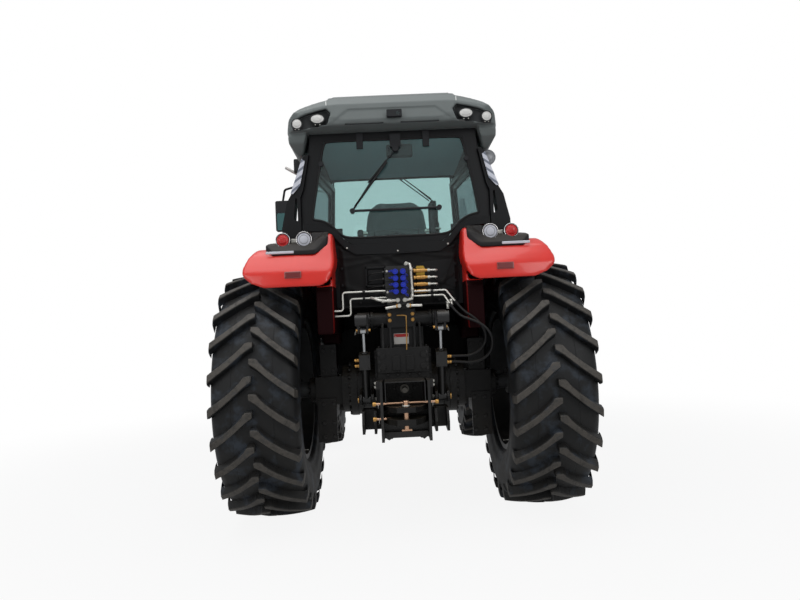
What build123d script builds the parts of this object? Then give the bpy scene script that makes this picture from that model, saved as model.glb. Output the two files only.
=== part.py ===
from build123d import *
import os
from math import cos, hypot, radians, sin, tan

# Farm tractor, four-wheel drive, with a closed cab.
# Millimetres. +X is the tractor's right side, +Y its front, +Z up, and the floor is z = 0.
# Everything below is laid out from the rear axle (y = 0). LENGTH_SHIFT then moves the whole
# machine so that its origin is the middle of its footprint.

# ---------------------------------------------------------------- driving dimensions
REAR_R, REAR_W, REAR_X = 900, 560, 972        # rear tyre: radius, width, its middle's distance from x = 0
FRONT_R, FRONT_W, FRONT_X = 700, 425, 930     # front tyre
REAR_BEAD_R, FRONT_BEAD_R = 486, 357          # 38 inch and 28 inch rims
REAR_RIM_HALF, FRONT_RIM_HALF = 226, 165      # half the width over the rim flanges
WHEELBASE = 2850
FRONT_END = 3950                              # front face of the weights
LENGTH_SHIFT = -(FRONT_END - REAR_R) / 2

FENDER_R = 985                                # inside radius of the fender arch, about the rear axle
FENDER_SKIN = 25
FENDER_IN = 455                               # fender's inner wall
CAB_TOP = 2760                                # underside of the roof
SCREEN_TOP, RING_TOP = 2850, 2868             # windscreen and front ring, up inside the roof's peak
CAB_WAIST = 1950
CAB_SILL = 1250
CAB_UNDERSIDE = CAB_SILL - 40
CAB_REAR_Y, CAB_B_Y, CAB_FRONT_Y = -335, 420, 1360
ROOF_TOP = 3100
LAMP_BED_Y = -462                             # floor of the roof's lamp recesses
HOOD_HALF_W = 322
HOOD_REAR_Y, HOOD_NOSE_Y = 1530, 3560
HOOD_HINGE = (1545, 1825)                     # y, z of the hood's hinge line

KINGPIN_X, KINGPIN_R = 700, 24
SPINDLE_R = 40                                # stub that carries the front hub
BAR_AXLE_R = 57                               # rear axle shaft
ARM_BACK = 240                                # steering arm's ball joint, behind the kingpin
TIE_Z = 735

ROCK_Y, ROCK_Z, ROCK_R = -400, 1400, 38       # rock shaft of the three-point lift
LIFT_X = 265                                  # lift arm and lift cylinder, from the middle
ROD_PIN = (-535, 1335)                        # y, z of the pin that joins cylinder rod and arm
BARREL_PIN = (-400, 850)                      # y, z of the cylinder's lower pin
LIFT_TIP_Y = -790                             # lift arm's eye, level with the rock shaft
LINK_BORE_R, LIFT_EYE_R = 14.3, 14.5          # bores for the lower link pins and the lift rod pins
PTO_Z, PTO_R, PTO_JOURNAL_R = 925, 17.5, 22
DOOR_HINGE_Y, DOOR_HINGE_LEAN = 455, 0.1205   # door's hinge line: its y, and its lean in per height
PLAY = 0.05                                   # radial running clearance of a turning shaft


# ---------------------------------------------------------------- shapes that everything uses
def block(x, y, z):
    """A box from x[0] to x[1], y[0] to y[1] and z[0] to z[1]."""
    middle = Pos((x[0] + x[1]) / 2, (y[0] + y[1]) / 2, (z[0] + z[1]) / 2)
    return middle * Box(x[1] - x[0], y[1] - y[0], z[1] - z[0])


def outline(points, radius=0):
    """A closed flat outline, with its corners rounded where a radius is given."""
    face = make_face(Polyline(*points, close=True))
    return fillet(face.vertices(), radius) if radius else face


def rounded_beyond(face, x, y, radius):
    """A flat outline with only those corners rounded that lie beyond x and y."""
    return fillet([corner for corner in face.vertices() if corner.X > x and corner.Y > y], radius)


def side_prism(face, x):
    """A side-view outline, drawn as (y, z), given its width from x[0] to x[1]."""
    plane = Plane(origin=(x[0], 0, 0), x_dir=(0, 1, 0), z_dir=(1, 0, 0))
    return extrude(plane * face, x[1] - x[0])


def rear_prism(face, y):
    """A rear-view outline, drawn as (x, z), given its length from y[0] to y[1]."""
    plane = Plane(origin=(0, y[1], 0), x_dir=(1, 0, 0), z_dir=(0, -1, 0))
    return extrude(plane * face, y[1] - y[0])


def plan_prism(face, z):
    """A plan-view outline, drawn as (x, y), given its height from z[0] to z[1]."""
    return extrude(Pos(0, 0, z[0]) * face, z[1] - z[0])


def half_outline(points, radius=0):
    """A rear-view half outline, given from the middle outwards, made whole."""
    return outline(points + [(-x, z) for x, z in reversed(points) if x], radius)


def three_views(side, rear, plan, x, y, z):
    """The solid that has these three outlines, within the x, y and z limits given."""
    return side_prism(side, x) & rear_prism(rear, y) & plan_prism(plan, z)


def rod(start, end, radius):
    """A round bar between two points."""
    a, b = Vector(*start), Vector(*end)
    return Plane(origin=a, z_dir=b - a) * Cylinder(radius, (b - a).length,
                                                   align=(Align.CENTER, Align.CENTER, Align.MIN))


def bar_x(x, y, z, radius):
    """A round bar along x."""
    return rod((x[0], y, z), (x[1], y, z), radius)


def bent_pipe(points, radius, bend):
    """A pipe of straight runs with round bends."""
    path = FilletPolyline(*points, radius=bend)
    return sweep(Plane(origin=path @ 0, z_dir=path % 0) * Circle(radius), path=path)


def free_hose(points, radius):
    """A hose that lies free between two fittings, each bend as large as its two runs allow."""
    corners = [Vector(*point) for point in points]
    bends = []
    for before, corner, after in zip(corners, corners[1:], corners[2:]):
        runs = (corner - before, after - corner)
        half_turn = radians(runs[0].get_angle(runs[1]) / 2)
        bends.append(0.45 * min(runs[0].length, runs[1].length) / tan(half_turn))
    print("hose bends, mm:", [round(bend) for bend in bends])
    return bent_pipe(points, radius, bends)


def pair(shape):
    """A piece and its mirror image on the other side of the tractor."""
    return shape + mirror(shape, about=Plane.YZ)


def mirrored(shape, side):
    """The piece itself on the right (side 1), or its mirror image on the left (side -1)."""
    return shape if side > 0 else mirror(shape, about=Plane.YZ)


def save(name, shape):
    """Writes one piece, moved into the tractor's own frame."""
    export_step(Pos(0, LENGTH_SHIFT, 0) * shape, f"parts/{name}.step")


# ---------------------------------------------------------------- wheels
def tyre(radius, width, bead_r, rim_half, y, x):
    """Hollow tyre: bead, bulged sidewall, square shoulder and a slightly crowned tread."""
    half, depth = width / 2, radius - bead_r
    wall = 0.09 * depth
    bead = (rim_half - 15, bead_r)
    heel = (rim_half - 11, bead_r + 30)
    bulge = (half, bead_r + 0.55 * depth)
    shoulder = (0.93 * half, radius - 0.06 * depth)
    inner_bead = (bead[0] - 26, bead_r + 0.03 * depth)
    inner_bulge = (half - wall, bulge[1])
    inner_shoulder = (0.80 * half, radius - 0.20 * depth)

    def flip(p):
        return (-p[0], p[1])

    edges = [
        Line(bead, heel),
        ThreePointArc(heel, (0.93 * half, bead_r + 0.30 * depth), bulge),
        ThreePointArc(bulge, (0.99 * half, radius - 0.20 * depth), shoulder),
        ThreePointArc(shoulder, (0, radius), flip(shoulder)),
        ThreePointArc(flip(shoulder), (-0.99 * half, radius - 0.20 * depth), flip(bulge)),
        ThreePointArc(flip(bulge), (-0.93 * half, bead_r + 0.30 * depth), flip(heel)),
        Line(flip(heel), flip(bead)),
        Line(flip(bead), flip(inner_bead)),
        ThreePointArc(flip(inner_bead), (-0.82 * half, bead_r + 0.30 * depth), flip(inner_bulge)),
        Line(flip(inner_bulge), flip(inner_shoulder)),
        ThreePointArc(flip(inner_shoulder), (0, radius - 0.12 * depth), inner_shoulder),
        Line(inner_shoulder, inner_bulge),
        ThreePointArc(inner_bulge, (0.82 * half, bead_r + 0.30 * depth), inner_bead),
        Line(inner_bead, bead),
    ]
    section = Plane.XZ * make_face(edges)
    return Pos(x, y, radius) * revolve(section, Axis.X)


def rim(bead_r, half, disc):
    """Drop-centre rim with its dished disc, about the x axis. disc lists the dish as (x, r) points."""
    seat, well = bead_r - 0.4, bead_r - 45
    rim_section = [(-half, seat + 26), (-half + 10, seat + 26), (-half + 14, seat), (-70, seat - 4),
                   (-45, well), (45, well), (70, seat - 4), (half - 14, seat), (half - 10, seat + 26),
                   (half, seat + 26), (half, seat - 10), (76, seat - 16), (50, well - 12),
                   (-50, well - 12), (-76, seat - 16), (-half, seat - 10)]
    sections = [outline(rim_section), outline(disc)]
    return revolve(Plane.XZ * sections[0], Axis.X) + revolve(Plane.XZ * sections[1], Axis.X)


def round_pattern(radius, count, hole_r, x, turn=0):
    """Round bars along x on a circle about the x axis, for holes or bolts."""
    places = [radians(turn + 360 * i / count) for i in range(count)]
    return [bar_x(x, radius * cos(a), radius * sin(a), hole_r) for a in places]


def rear_rim():
    """Right rear rim: disc, axle hub flange, and the bar axle that enters the housing."""
    well = REAR_BEAD_R - 57
    disc = [(-110, 60), (-110, 190), (-30, 300), (-30, well + 4), (-16, well + 4),
            (-16, 296), (-94, 184), (-94, 60)]
    wheel = rim(REAR_BEAD_R, REAR_RIM_HALF, disc)
    wheel -= round_pattern(365, 8, 34, (-60, 10), 22.5)
    hub = bar_x((-112, -60), 0, 0, 150) + bar_x((-180, -110), 0, 0, 92)
    shaft = bar_x((670 - REAR_X, 30), 0, 0, BAR_AXLE_R)
    bolts = round_pattern(120, 10, 14, (-62, -44))
    return wheel + hub + shaft + bolts


def front_rim():
    """Right front rim: disc, planetary hub and its cover."""
    well = FRONT_BEAD_R - 57
    disc = [(0, 100), (0, 190), (36, 250), (36, well + 4), (48, well + 4), (48, 246), (12, 184), (12, 100)]
    wheel = rim(FRONT_BEAD_R, FRONT_RIM_HALF, disc)
    hub = bar_x((-60, 60), 0, 0, 135) + bar_x((50, 96), 0, 0, 92)
    bolts = round_pattern(158, 10, 12, (6, 30))
    return (wheel + hub + bolts) - bar_x((-70, -35), 0, 0, SPINDLE_R + PLAY)


def build_wheels():
    """Four wheels, each as a tyre and a rim."""
    rear_tyre = tyre(REAR_R, REAR_W, REAR_BEAD_R, REAR_RIM_HALF, 0, REAR_X)
    front_tyre = tyre(FRONT_R, FRONT_W, FRONT_BEAD_R, FRONT_RIM_HALF, WHEELBASE, FRONT_X)
    for side, word in ((-1, "left"), (1, "right")):
        save(f"rear_tyre_{word}", mirrored(rear_tyre, side))
        save(f"rear_rim_{word}", mirrored(Pos(REAR_X, 0, REAR_R) * rear_rim(), side))
        save(f"front_tyre_{word}", mirrored(front_tyre, side))
        save(f"front_rim_{word}", mirrored(Pos(FRONT_X, WHEELBASE, FRONT_R) * front_rim(), side))


# ---------------------------------------------------------------- rear axle and housings
def rear_housing():
    """Final-drive casting: ribbed lift housing above, flanged cover below, axle flanges at the sides."""
    body = block((-200, 200), (-400, 560), (640, 1190)) + block((-178, 178), (-480, -400), (700, 1190))
    cover = rear_prism(outline([(-175, 1035), (175, 1035), (178, 1190), (-178, 1190)], 12), (-505, -480))
    lip = block((-182, 182), (-505, -330), (1188, 1206))
    lift = block((-150, 150), (-440, 260), (1206, 1345))
    shelf = block((-98, 98), (-470, -330), (1345, 1470))
    rib_form = outline([(-440, 1206), (-492, 1206), (-470, 1350), (-440, 1390), (-400, 1345)])
    ribs = [side_prism(rib_form, (x - 7, x + 7)) for x in (-133, -80, 87, 126)]
    bosses = bar_x((98, 205), ROCK_Y, ROCK_Z, 54) + bar_x((196, 214), ROCK_Y, ROCK_Z, 62)
    pads = [rod((x, -518, z), (x, -505, z), 20) for x in (-140, 140) for z in (1072, 1152)]
    shields = [block((x - 26, x + 26), (-516, -505), (1050, 1150)) for x in (-48, 48)]
    flange = bar_x((200, 300), 0, REAR_R, 172) + bar_x((300, 342), 0, REAR_R, 198)
    neck = rod((0, -500, PTO_Z), (0, -480, PTO_Z), 58)
    whole = body + cover + lip + lift + shelf + ribs + pads + shields + neck
    whole += pair(bosses + flange + lift_lug() + link_fork())
    whole -= bar_x((-300, 300), ROCK_Y, ROCK_Z, ROCK_R + PLAY)
    return whole - rod((0, -510, PTO_Z), (0, -440, PTO_Z), PTO_JOURNAL_R + PLAY)


def lift_lug():
    """Fork that carries the lift cylinder's lower pin."""
    form = outline([(-100, 800), (-425, 812), (-445, 850), (-425, 888), (-100, 930)], 10)
    plate = side_prism(form, (0, 18))
    forks = Pos(LIFT_X - 50, 0, 0) * plate + Pos(LIFT_X + 32, 0, 0) * plate
    return forks + bar_x((LIFT_X - 55, LIFT_X + 55), *BARREL_PIN, 14)


def link_fork():
    """Fork for a lower link, cast beside the ladder plate, with a cross bore."""
    cheek = outline([(-300, 640), (-500, 620), (-525, 690), (-480, 780), (-300, 780)], 12)
    back = block((190, 300), (-400, -300), (640, 780))
    whole = side_prism(cheek, (200, 218)) + side_prism(cheek, (282, 300)) + back
    return whole - bar_x((190, 310), -455, 690, LINK_BORE_R)


def axle_housing():
    """Right axle housing: bolted bell flange, square trumpet and bearing nose, with its brackets."""
    bell = bar_x((342, 392), 0, REAR_R, 205) + bar_x((392, 455), 0, REAR_R, 178)
    trumpet = block((455, 660), (-105, 105), (REAR_R - 105, REAR_R + 100))
    nose = bar_x((660, 700), 0, REAR_R, 95) - bar_x((665, 710), 0, REAR_R, BAR_AXLE_R + PLAY)
    cab_post = block((498, 622), (-75, 75), (REAR_R + 100, 1240))
    lower = block((505, 648), (-120, -95), (520, REAR_R - 60)) + block((505, 648), (-100, 90), (700, 800))
    return bell + trumpet + nose + cab_post + lower


def transmission():
    """Gearbox casting between the final drive and the engine, with two front cab posts."""
    body = side_prism(outline([(560, 620), (1100, 600), (1740, 620), (1740, 1090), (1300, 1130),
                               (560, 1150)]), (-215, 215))
    bell = side_prism(outline([(1660, 590), (1740, 590), (1740, 1130), (1660, 1130)]), (-250, 250))
    posts = block((215, 450), (1180, 1260), (980, 1060))
    posts += block((380, 440), (1180, 1260), (1060, CAB_UNDERSIDE))
    pad = block((-160, 160), (1400, 1520), (1080, 1130))
    return body + bell + pad + pair(posts)


def engine():
    """Plain engine block."""
    return block((-225, 225), (1740, 2560), (760, 1400)) + block((-170, 170), (1800, 2480), (672, 760))


# ---------------------------------------------------------------- front frame, axle and steering
def front_frame():
    """Cast cradle: two rails beside the engine, the axle hangers, and the weight carrier."""
    rail_form = outline([(1750, 850), (2600, 850), (3000, 870), (3560, 760), (3560, 1000), (1750, 1010)])
    rail = side_prism(rail_form, (235, 285))
    hanger = block((-285, 285), (3010, 3060), (640, 870))
    saddle = block((-285, 285), (2790, 2910), (846, 880))
    nose = block((-285, 285), (3560, 3610), (700, 1000))
    carrier = block((-270, 270), (3610, 3650), (880, 930))
    tow = block((-60, 60), (3610, 3650), (640, 740)) + block((-60, 60), (3560, 3610), (640, 700))
    return pair(rail) + hanger + saddle + nose + carrier + tow


def front_axle():
    """Beam with the differential bowl, kingpin bosses, and the drive shaft to the gearbox."""
    bowl = bar_x((-150, 150), WHEELBASE, 690, 150)
    arm = block((140, 660), (WHEELBASE - 60, WHEELBASE + 60), (640, 750))
    boss = Pos(KINGPIN_X, WHEELBASE, FRONT_R) * Cylinder(62, 230)
    seats = [Pos(KINGPIN_X, WHEELBASE, z) * Cylinder(KINGPIN_R + PLAY, 40) for z in (800, 600)]
    pivot = rod((0, 2990, 690), (0, 3010, 690), 60)
    shaft = rod((0, 2710, 625), (0, 1740, 625), 32)
    return bowl + pair((arm + boss) - seats) + pivot + shaft


def knuckle():
    """Right swivel housing: two ears with their kingpins, the outer wall, spindle and steering arm."""
    along = (WHEELBASE - 75, WHEELBASE + 75)
    ears = [Pos(KINGPIN_X, WHEELBASE, z) * Cylinder(75, 34) for z in (837, 563)]
    ears += [block((KINGPIN_X, 805), along, (z - 17, z + 17)) for z in (837, 563)]
    kingpins = [Pos(KINGPIN_X, WHEELBASE, z) * Cylinder(KINGPIN_R, 34) for z in (803, 597)]
    wall = block((772, 805), along, (546, 854))
    drum = bar_x((800, 864), WHEELBASE, FRONT_R, 125)
    spindle = bar_x((864, 890), WHEELBASE, FRONT_R, SPINDLE_R)
    ball_y = WHEELBASE - ARM_BACK
    arm_form = outline([(650, 2790), (750, 2790), (734, ball_y - 34), (666, ball_y - 34)])
    arm = plan_prism(arm_form, (820, 854))
    whole = ears[0] + ears[1:] + kingpins + wall + drum + spindle + arm
    return whole - Pos(KINGPIN_X, ball_y, 800) * Cylinder(12 + PLAY, 200)


def tie_rod():
    """Rod that joins the two steering arms."""
    y, x = WHEELBASE - ARM_BACK, KINGPIN_X
    ends = [rod((side * x, y, TIE_Z - 26), (side * x, y, 814), 28) for side in (-1, 1)]
    studs = [rod((side * x, y, 814), (side * x, y, 858), 12) for side in (-1, 1)]
    return bar_x((-x, x), y, TIE_Z, 18) + ends + studs


def front_weights():
    """Row of weights hooked on the carrier."""
    profile = outline([(3650, 640), (FRONT_END, 700), (FRONT_END, 960), (3900, 990), (3620, 990),
                       (3620, 930), (3650, 930)])
    pitch, gap, count = 62, 8, 8
    middles = [(i - (count - 1) / 2) * pitch for i in range(count)]
    slabs = [side_prism(profile, (x - (pitch - gap) / 2, x + (pitch - gap) / 2)) for x in middles]
    return slabs[0] + slabs[1:]


# ---------------------------------------------------------------- three-point lift
def lift_arms():
    """Rock shaft with both lift arms: hub, arm with a fork for the cylinder, and the tip eye."""
    shaft = bar_x((-309, 309), ROCK_Y, ROCK_Z, ROCK_R)
    hub = bar_x((221, 309), ROCK_Y, ROCK_Z, 60)
    arm = side_prism(outline([(ROCK_Y, ROCK_Z + 50), (-700, ROCK_Z + 45), (LIFT_TIP_Y, ROCK_Z + 34),
                              (LIFT_TIP_Y, ROCK_Z - 34), (-700, ROCK_Z - 34), (ROCK_Y, ROCK_Z - 20)], 8),
                     (LIFT_X - 24, LIFT_X + 24))
    ear = side_prism(outline([(-500, 1400), (-570, 1400), (-562, 1312), (-508, 1312)], 8), (0, 14))
    fork = Pos(LIFT_X - 38, 0, 0) * ear + Pos(LIFT_X + 24, 0, 0) * ear
    bridge = block((LIFT_X - 38, LIFT_X + 38), (-570, -500), (1385, 1440))
    tip = bar_x((LIFT_X - 38, LIFT_X + 38), LIFT_TIP_Y, ROCK_Z, 38)
    side = hub + arm + fork + bridge + tip
    side -= bar_x((LIFT_X - 60, LIFT_X + 60), LIFT_TIP_Y, ROCK_Z, LIFT_EYE_R)
    side -= block((LIFT_X - 24, LIFT_X + 24), (-585, -485), (1290, 1385))
    return shaft + pair(side)


def lift_axis(distance, x=LIFT_X):
    """A point on the cylinder's centre line, this far above its lower pin."""
    dy, dz = ROD_PIN[0] - BARREL_PIN[0], ROD_PIN[1] - BARREL_PIN[1]
    length = hypot(dy, dz)
    return (x, BARREL_PIN[0] + dy * distance / length, BARREL_PIN[1] + dz * distance / length)


def lift_barrels():
    """Both cylinder barrels with their square heads, brass ports and lower eyes."""
    eye = bar_x((LIFT_X - 27, LIFT_X + 27), *BARREL_PIN, 30)
    tube = rod(lift_axis(20), lift_axis(235), 27)
    ports = [bar_x((LIFT_X + 30, LIFT_X + 66), *lift_axis(along)[1:], 11) for along in (250, 290)]
    head = Plane(origin=lift_axis(230), z_dir=Vector(*lift_axis(330)) - Vector(*lift_axis(230)),
                 x_dir=(1, 0, 0)) * Box(76, 76, 106, align=(Align.CENTER, Align.CENTER, Align.MIN))
    barrel = eye + tube + head + ports
    barrel -= bar_x((LIFT_X - 60, LIFT_X + 60), *BARREL_PIN, 14 + PLAY)
    barrel -= rod(lift_axis(70), lift_axis(400), 14 + PLAY)
    return pair(barrel)


def lift_rods():
    """Both chrome rods with their upper eyes."""
    total = hypot(ROD_PIN[0] - BARREL_PIN[0], ROD_PIN[1] - BARREL_PIN[1])
    stem = rod(lift_axis(160), lift_axis(total - 10), 14)
    eye = bar_x((LIFT_X - 18, LIFT_X + 18), *ROD_PIN, 26)
    return pair(stem + eye)


# ---------------------------------------------------------------- hitch and power take-off
def hitch_frame():
    """Ladder plates with their two rows of pin holes, and the foot that ties them."""
    plate = block((147, 165), (-720, -480), (600, 990)) + block((165, 195), (-560, -480), (930, 985))
    rows = ((-690, (650, 700, 750, 800, 848, 900, 950)), (-640, (650, 750, 848, 950)))
    plate -= [bar_x((140, 170), y, z, 8) for y, heights in rows for z in heights]
    tie = block((-165, 165), (-560, -520), (600, 640))
    teeth = [(0, 610), (75, 610), (100, 590), (125, 605), (140, 640), (0, 640)]
    return pair(plate) + tie + rear_prism(half_outline(teeth), (-545, -515))


def hitch_jaw():
    """Jaw block that slides in the ladder plates."""
    jaw = [(-147, -520), (147, -520), (147, -640), (110, -760), (60, -830), (-60, -830), (-110, -760),
           (-147, -640)]
    top = plan_prism(outline(jaw), (800, 832))
    bottom = plan_prism(outline(jaw), (718, 756))
    back = block((-147, 147), (-600, -520), (718, 832))
    whole = top + bottom + back - rod((0, -785, 700), (0, -785, 850), 16)
    return whole - bar_x((-150, -100), -690, 750, 8)


def hitch_pins():
    """Cross pin above the jaw, short locking pin, and the vertical hitch pin with its handle."""
    cross = bar_x((-215, 215), -690, 848, 8)
    lock = bar_x((-215, -100), -690, 750, 8)
    drop = rod((0, -785, 690), (0, -785, 860), 16) + bar_x((-33, 33), -785, 686, 7)
    return cross + lock + drop


def pto_guard():
    """Bent sheet guard over the power take-off stub."""
    outer = outline([(-132, 860), (-132, 993), (132, 993), (132, 860)])
    inner = outline([(-126, 850), (-126, 987), (126, 987), (126, 850)])
    return rear_prism(outer, (-760, -480)) - rear_prism(inner, (-770, -470))


def pto_shaft():
    """Power take-off stub with its collar and the journal inside the housing."""
    stub = rod((0, -640, PTO_Z), (0, -530, PTO_Z), PTO_R)
    collar = rod((0, -530, PTO_Z), (0, -506, PTO_Z), 30)
    return stub + collar + rod((0, -506, PTO_Z), (0, -445, PTO_Z), PTO_JOURNAL_R)


# ---------------------------------------------------------------- remote hydraulics
REMOTE_X = (-28, 24)                                  # two columns of couplers
REMOTE_Z = [1586 + 45 * row for row in range(4)]
SLICE_Z = [1566 + 48 * row for row in range(4)]       # bottom of each valve slice, 44 high


PIPE_R, PIPE_BEND = 6, 18
PIPE_END_HIGH, PIPE_END_LOW = (372, -548, 1508), (336, -549, 1492)   # where the hoses meet their pipes


def valve_block():
    """Stack of remote valves on its foot, with the bodies of the eight couplers."""
    slices = [block((-100, 95), (-540, -402), (z, z + 44)) for z in SLICE_Z]
    core = block((-92, 87), (-532, -366), (1500, 1768)) + block((-60, 60), (-460, -380), (1470, 1500))
    noses = [rod((x, -592, z), (x, -540, z), 15) for x in REMOTE_X for z in REMOTE_Z]
    return core + slices + noses


def coupler_caps():
    """Two columns of four dust caps."""
    caps = [rod((x, -640, z), (x, -592, z), 19) for x in REMOTE_X for z in REMOTE_Z]
    return caps[0] + caps[1:]


def valve_fittings():
    """Yellow plated couplings in a column on the valves' right side."""
    couplings = [bar_x((95, 205), -500, z + 22, 10) + bar_x((120, 180), -500, z + 22, 14) for z in SLICE_Z]
    return couplings[0] + couplings[1:]


def hydraulic_pipes():
    """Bright steel pipes: elbows from the couplings to the bulkhead, and long runs to both sides."""
    middles = [z + 22 for z in SLICE_Z]
    routes = [[(205, -500, z), (262, -500, z), (262, -380, z)] for z in middles]
    routes.append([(-100, -525, 1600), (-395, -525, 1600), (-395, -525, 1475), (-FENDER_IN, -525, 1475)])
    routes.append([(-92, -500, 1555), (-345, -500, 1555), (-345, -500, 1440), (-FENDER_IN, -500, 1440)])
    routes.append([(95, -524, 1588), (316, -524, 1588), PIPE_END_HIGH])
    routes.append([(87, -525, 1555), (300, -525, 1555), PIPE_END_LOW])
    pipes = [bent_pipe(route, PIPE_R, PIPE_BEND) for route in routes]
    return pipes[0] + pipes[1:]


HOSE_R = 9


def hose_high():
    """Rubber hose from the right lift cylinder's upper port to the rear one of two pipes."""
    port = lift_axis(290)[1:]
    return free_hose([(LIFT_X + 66, *port), (395, *port), (470, -500, 1128), (540, -545, 1170),
                      (572, -582, 1245), (548, -604, 1325), (490, -598, 1390), (421, -569, 1438),
                      PIPE_END_HIGH], HOSE_R)


def hose_low():
    """Rubber hose from the right lift cylinder's lower port, outside the other, to the lower pipe."""
    port = lift_axis(250)[1:]
    return free_hose([(LIFT_X + 66, *port), (390, *port), (455, -492, 1078), (545, -550, 1098),
                      (602, -600, 1160), (606, -632, 1250), (555, -642, 1330), (472, -624, 1374),
                      (384, -581, 1408), PIPE_END_LOW], HOSE_R)


# ---------------------------------------------------------------- cab
SIDE_SECTIONS = (  # y, then the cab's half width at CAB_TOP, at CAB_WAIST and at CAB_SILL
    (CAB_REAR_Y, 600, 740, 740),
    (CAB_B_Y, 700, 800, 800),
    (CAB_FRONT_Y, 620, 655, 655),
)


def side_skin(depth, thick):
    """Right side of the cab as a curved slab, set in from the outside by depth."""
    def section(y, top, waist, sill):
        points = [(top - depth, CAB_TOP), (waist - depth, CAB_WAIST), (sill - depth, CAB_SILL),
                  (sill - depth - thick, CAB_SILL), (waist - depth - thick, CAB_WAIST),
                  (top - depth - thick, CAB_TOP)]
        plane = Plane(origin=(0, y, 0), x_dir=(1, 0, 0), z_dir=(0, -1, 0))
        return plane * outline(points)

    faces = [section(*row) for row in SIDE_SECTIONS]
    return loft(faces[:2], ruled=True) + loft(faces[1:], ruled=True)


def cab_fill():
    """The room that the right half of the cab takes up, one millimetre clear all round."""
    return side_skin(-1, 560)


DOOR_ARC = ((470, 1880), (860, 1640), (1100, 1285))   # door's cut-out over the fender


def door_outline(inset):
    """Door outline in side view, with the cut-out that clears the rear wheel."""
    start, mid, end = DOOR_ARC
    low, high, front = 1285 + inset, 2715 - inset, (1304 if inset >= 0 else 1316) - inset
    arc = ThreePointArc((start[0] + inset, start[1] + inset), (mid[0] + inset * 0.7, mid[1] + inset * 0.7),
                        (end[0] + inset, end[1] + inset))
    rest = Polyline((end[0] + inset, end[1] + inset), (front, low), (front, high), (470 + inset, high),
                    (start[0] + inset, start[1] + inset))
    return make_face([arc, rest])


def quarter_outline():
    """Rear side window outline."""
    return outline([(CAB_REAR_Y + 75, 2690), (385, 2690), (385, 1960), (CAB_REAR_Y + 75, 2060)], 30)


def rear_glass_outline():
    """Rear window outline: level top, spread sides, and a bottom that drops in the middle."""
    return half_outline([(0, 2704), (500, 2704), (603, 2148), (540, 2134), (475, 2104), (420, 2045),
                         (370, 2003), (0, 1998)])


def windshield_outline():
    """Windscreen outline in front view."""
    return outline([(-600, SCREEN_TOP), (600, SCREEN_TOP), (620, 1560), (-620, 1560)], 40)


def cab_frame():
    """Welded cab frame: side frames with door and window openings, rear and front rings."""
    side = side_skin(0, 50)
    side -= side_prism(door_outline(-6), (400, 1000))
    side -= side_prism(quarter_outline(), (400, 1000))
    side -= side_prism(fender_side(-2), (400, 1060))
    side -= block((400, 1000), (CAB_REAR_Y - 50, 0), (1200, 1960))
    half = [(0, CAB_TOP), (600, CAB_TOP), (604, 2602), (653, 2356), (674, 2300), (674, 2112), (525, 2102),
            (438, 2064), (375, 1990), (325, 1952), (0, 1950)]
    ring = rear_prism(half_outline(half), (CAB_REAR_Y - 35, CAB_REAR_Y))
    ring -= rear_prism(rear_glass_outline(), (CAB_REAR_Y - 60, CAB_REAR_Y + 60))
    front = half_outline([(625, RING_TOP), (640, CAB_TOP), (655, CAB_WAIST), (655, CAB_UNDERSIDE)])
    shield = rear_prism(front, (CAB_FRONT_Y, CAB_FRONT_Y + 35))
    shield -= rear_prism(windshield_outline(), (CAB_FRONT_Y - 60, CAB_FRONT_Y + 60))
    return pair(side + hinge_lugs()) + ring + shield


def hinge_line(height):
    """Frame of axes on the right door's hinge line: x across it, y along the tractor, z up the line."""
    origin = (806.7 - DOOR_HINGE_LEAN * (height - CAB_WAIST), DOOR_HINGE_Y, height)
    return Plane(origin=origin, x_dir=(1, 0, DOOR_HINGE_LEAN), z_dir=(-DOOR_HINGE_LEAN, 0, 1))


def hinge_lugs():
    """Pillar halves of the two door hinges: lugs above and below, and the pin through them."""
    lugs = [Pos(-16, -17, z) * Box(42, 34, 10) + Pos(0, 0, z) * Cylinder(10, 10) for z in (-31, 31)]
    form = lugs[0] + lugs[1] + Cylinder(5, 72)
    return hinge_line(2040) * form + hinge_line(2580) * form


def hinge_straps():
    """Door halves of the hinges: a bored barrel with a strap that reaches the door frame."""
    strap = Pos(-7, 30, 0) * Box(8, 60, 40) + Pos(-13.5, 45, 0) * Box(21, 30, 40)
    form = (Cylinder(10, 50) + strap) - Cylinder(5 + PLAY, 90)
    return hinge_line(2040) * form + hinge_line(2580) * form


def cab_windows():
    """Windscreen and rear side windows."""
    shield = rear_prism(windshield_outline(), (CAB_FRONT_Y + 14, CAB_FRONT_Y + 20))
    return shield + pair(side_skin(20, 6) & side_prism(quarter_outline(), (400, 1000)))


def rear_window():
    """Rear window glass."""
    return rear_prism(rear_glass_outline(), (CAB_REAR_Y - 30, CAB_REAR_Y - 24))


def door_frame():
    """Right door: sheet frame round its glass, with the hinge straps and the moulded pull handle."""
    frame = side_skin(0, 30) & side_prism(door_outline(0), (400, 1000))
    handle = fillet(block((645, 698), (1264, 1292), (1600, 1740)).edges().filter_by(Axis.Y), 14)
    return frame - side_prism(door_outline(45), (400, 1000)) + hinge_straps() + handle


def door_glass():
    """Right door's glass."""
    return side_skin(10, 6) & side_prism(door_outline(45), (400, 1000))


def cab_floor():
    """Floor pan with the raised seat deck and the seat pedestal."""
    low, high = CAB_UNDERSIDE, 1500
    step = outline([(CAB_REAR_Y, high), (330, high), (330, low), (CAB_FRONT_Y, low),
                    (CAB_FRONT_Y, CAB_SILL), (370, CAB_SILL), (370, high + 40), (CAB_REAR_Y, high + 40)])
    floor = side_prism(step, (-FENDER_IN, FENDER_IN))
    wing = block((FENDER_IN, 600), (1000, CAB_FRONT_Y), (low, CAB_SILL))
    return floor + pair(wing) + block((-170, 170), (-60, 300), (high + 40, 1760))


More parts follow.
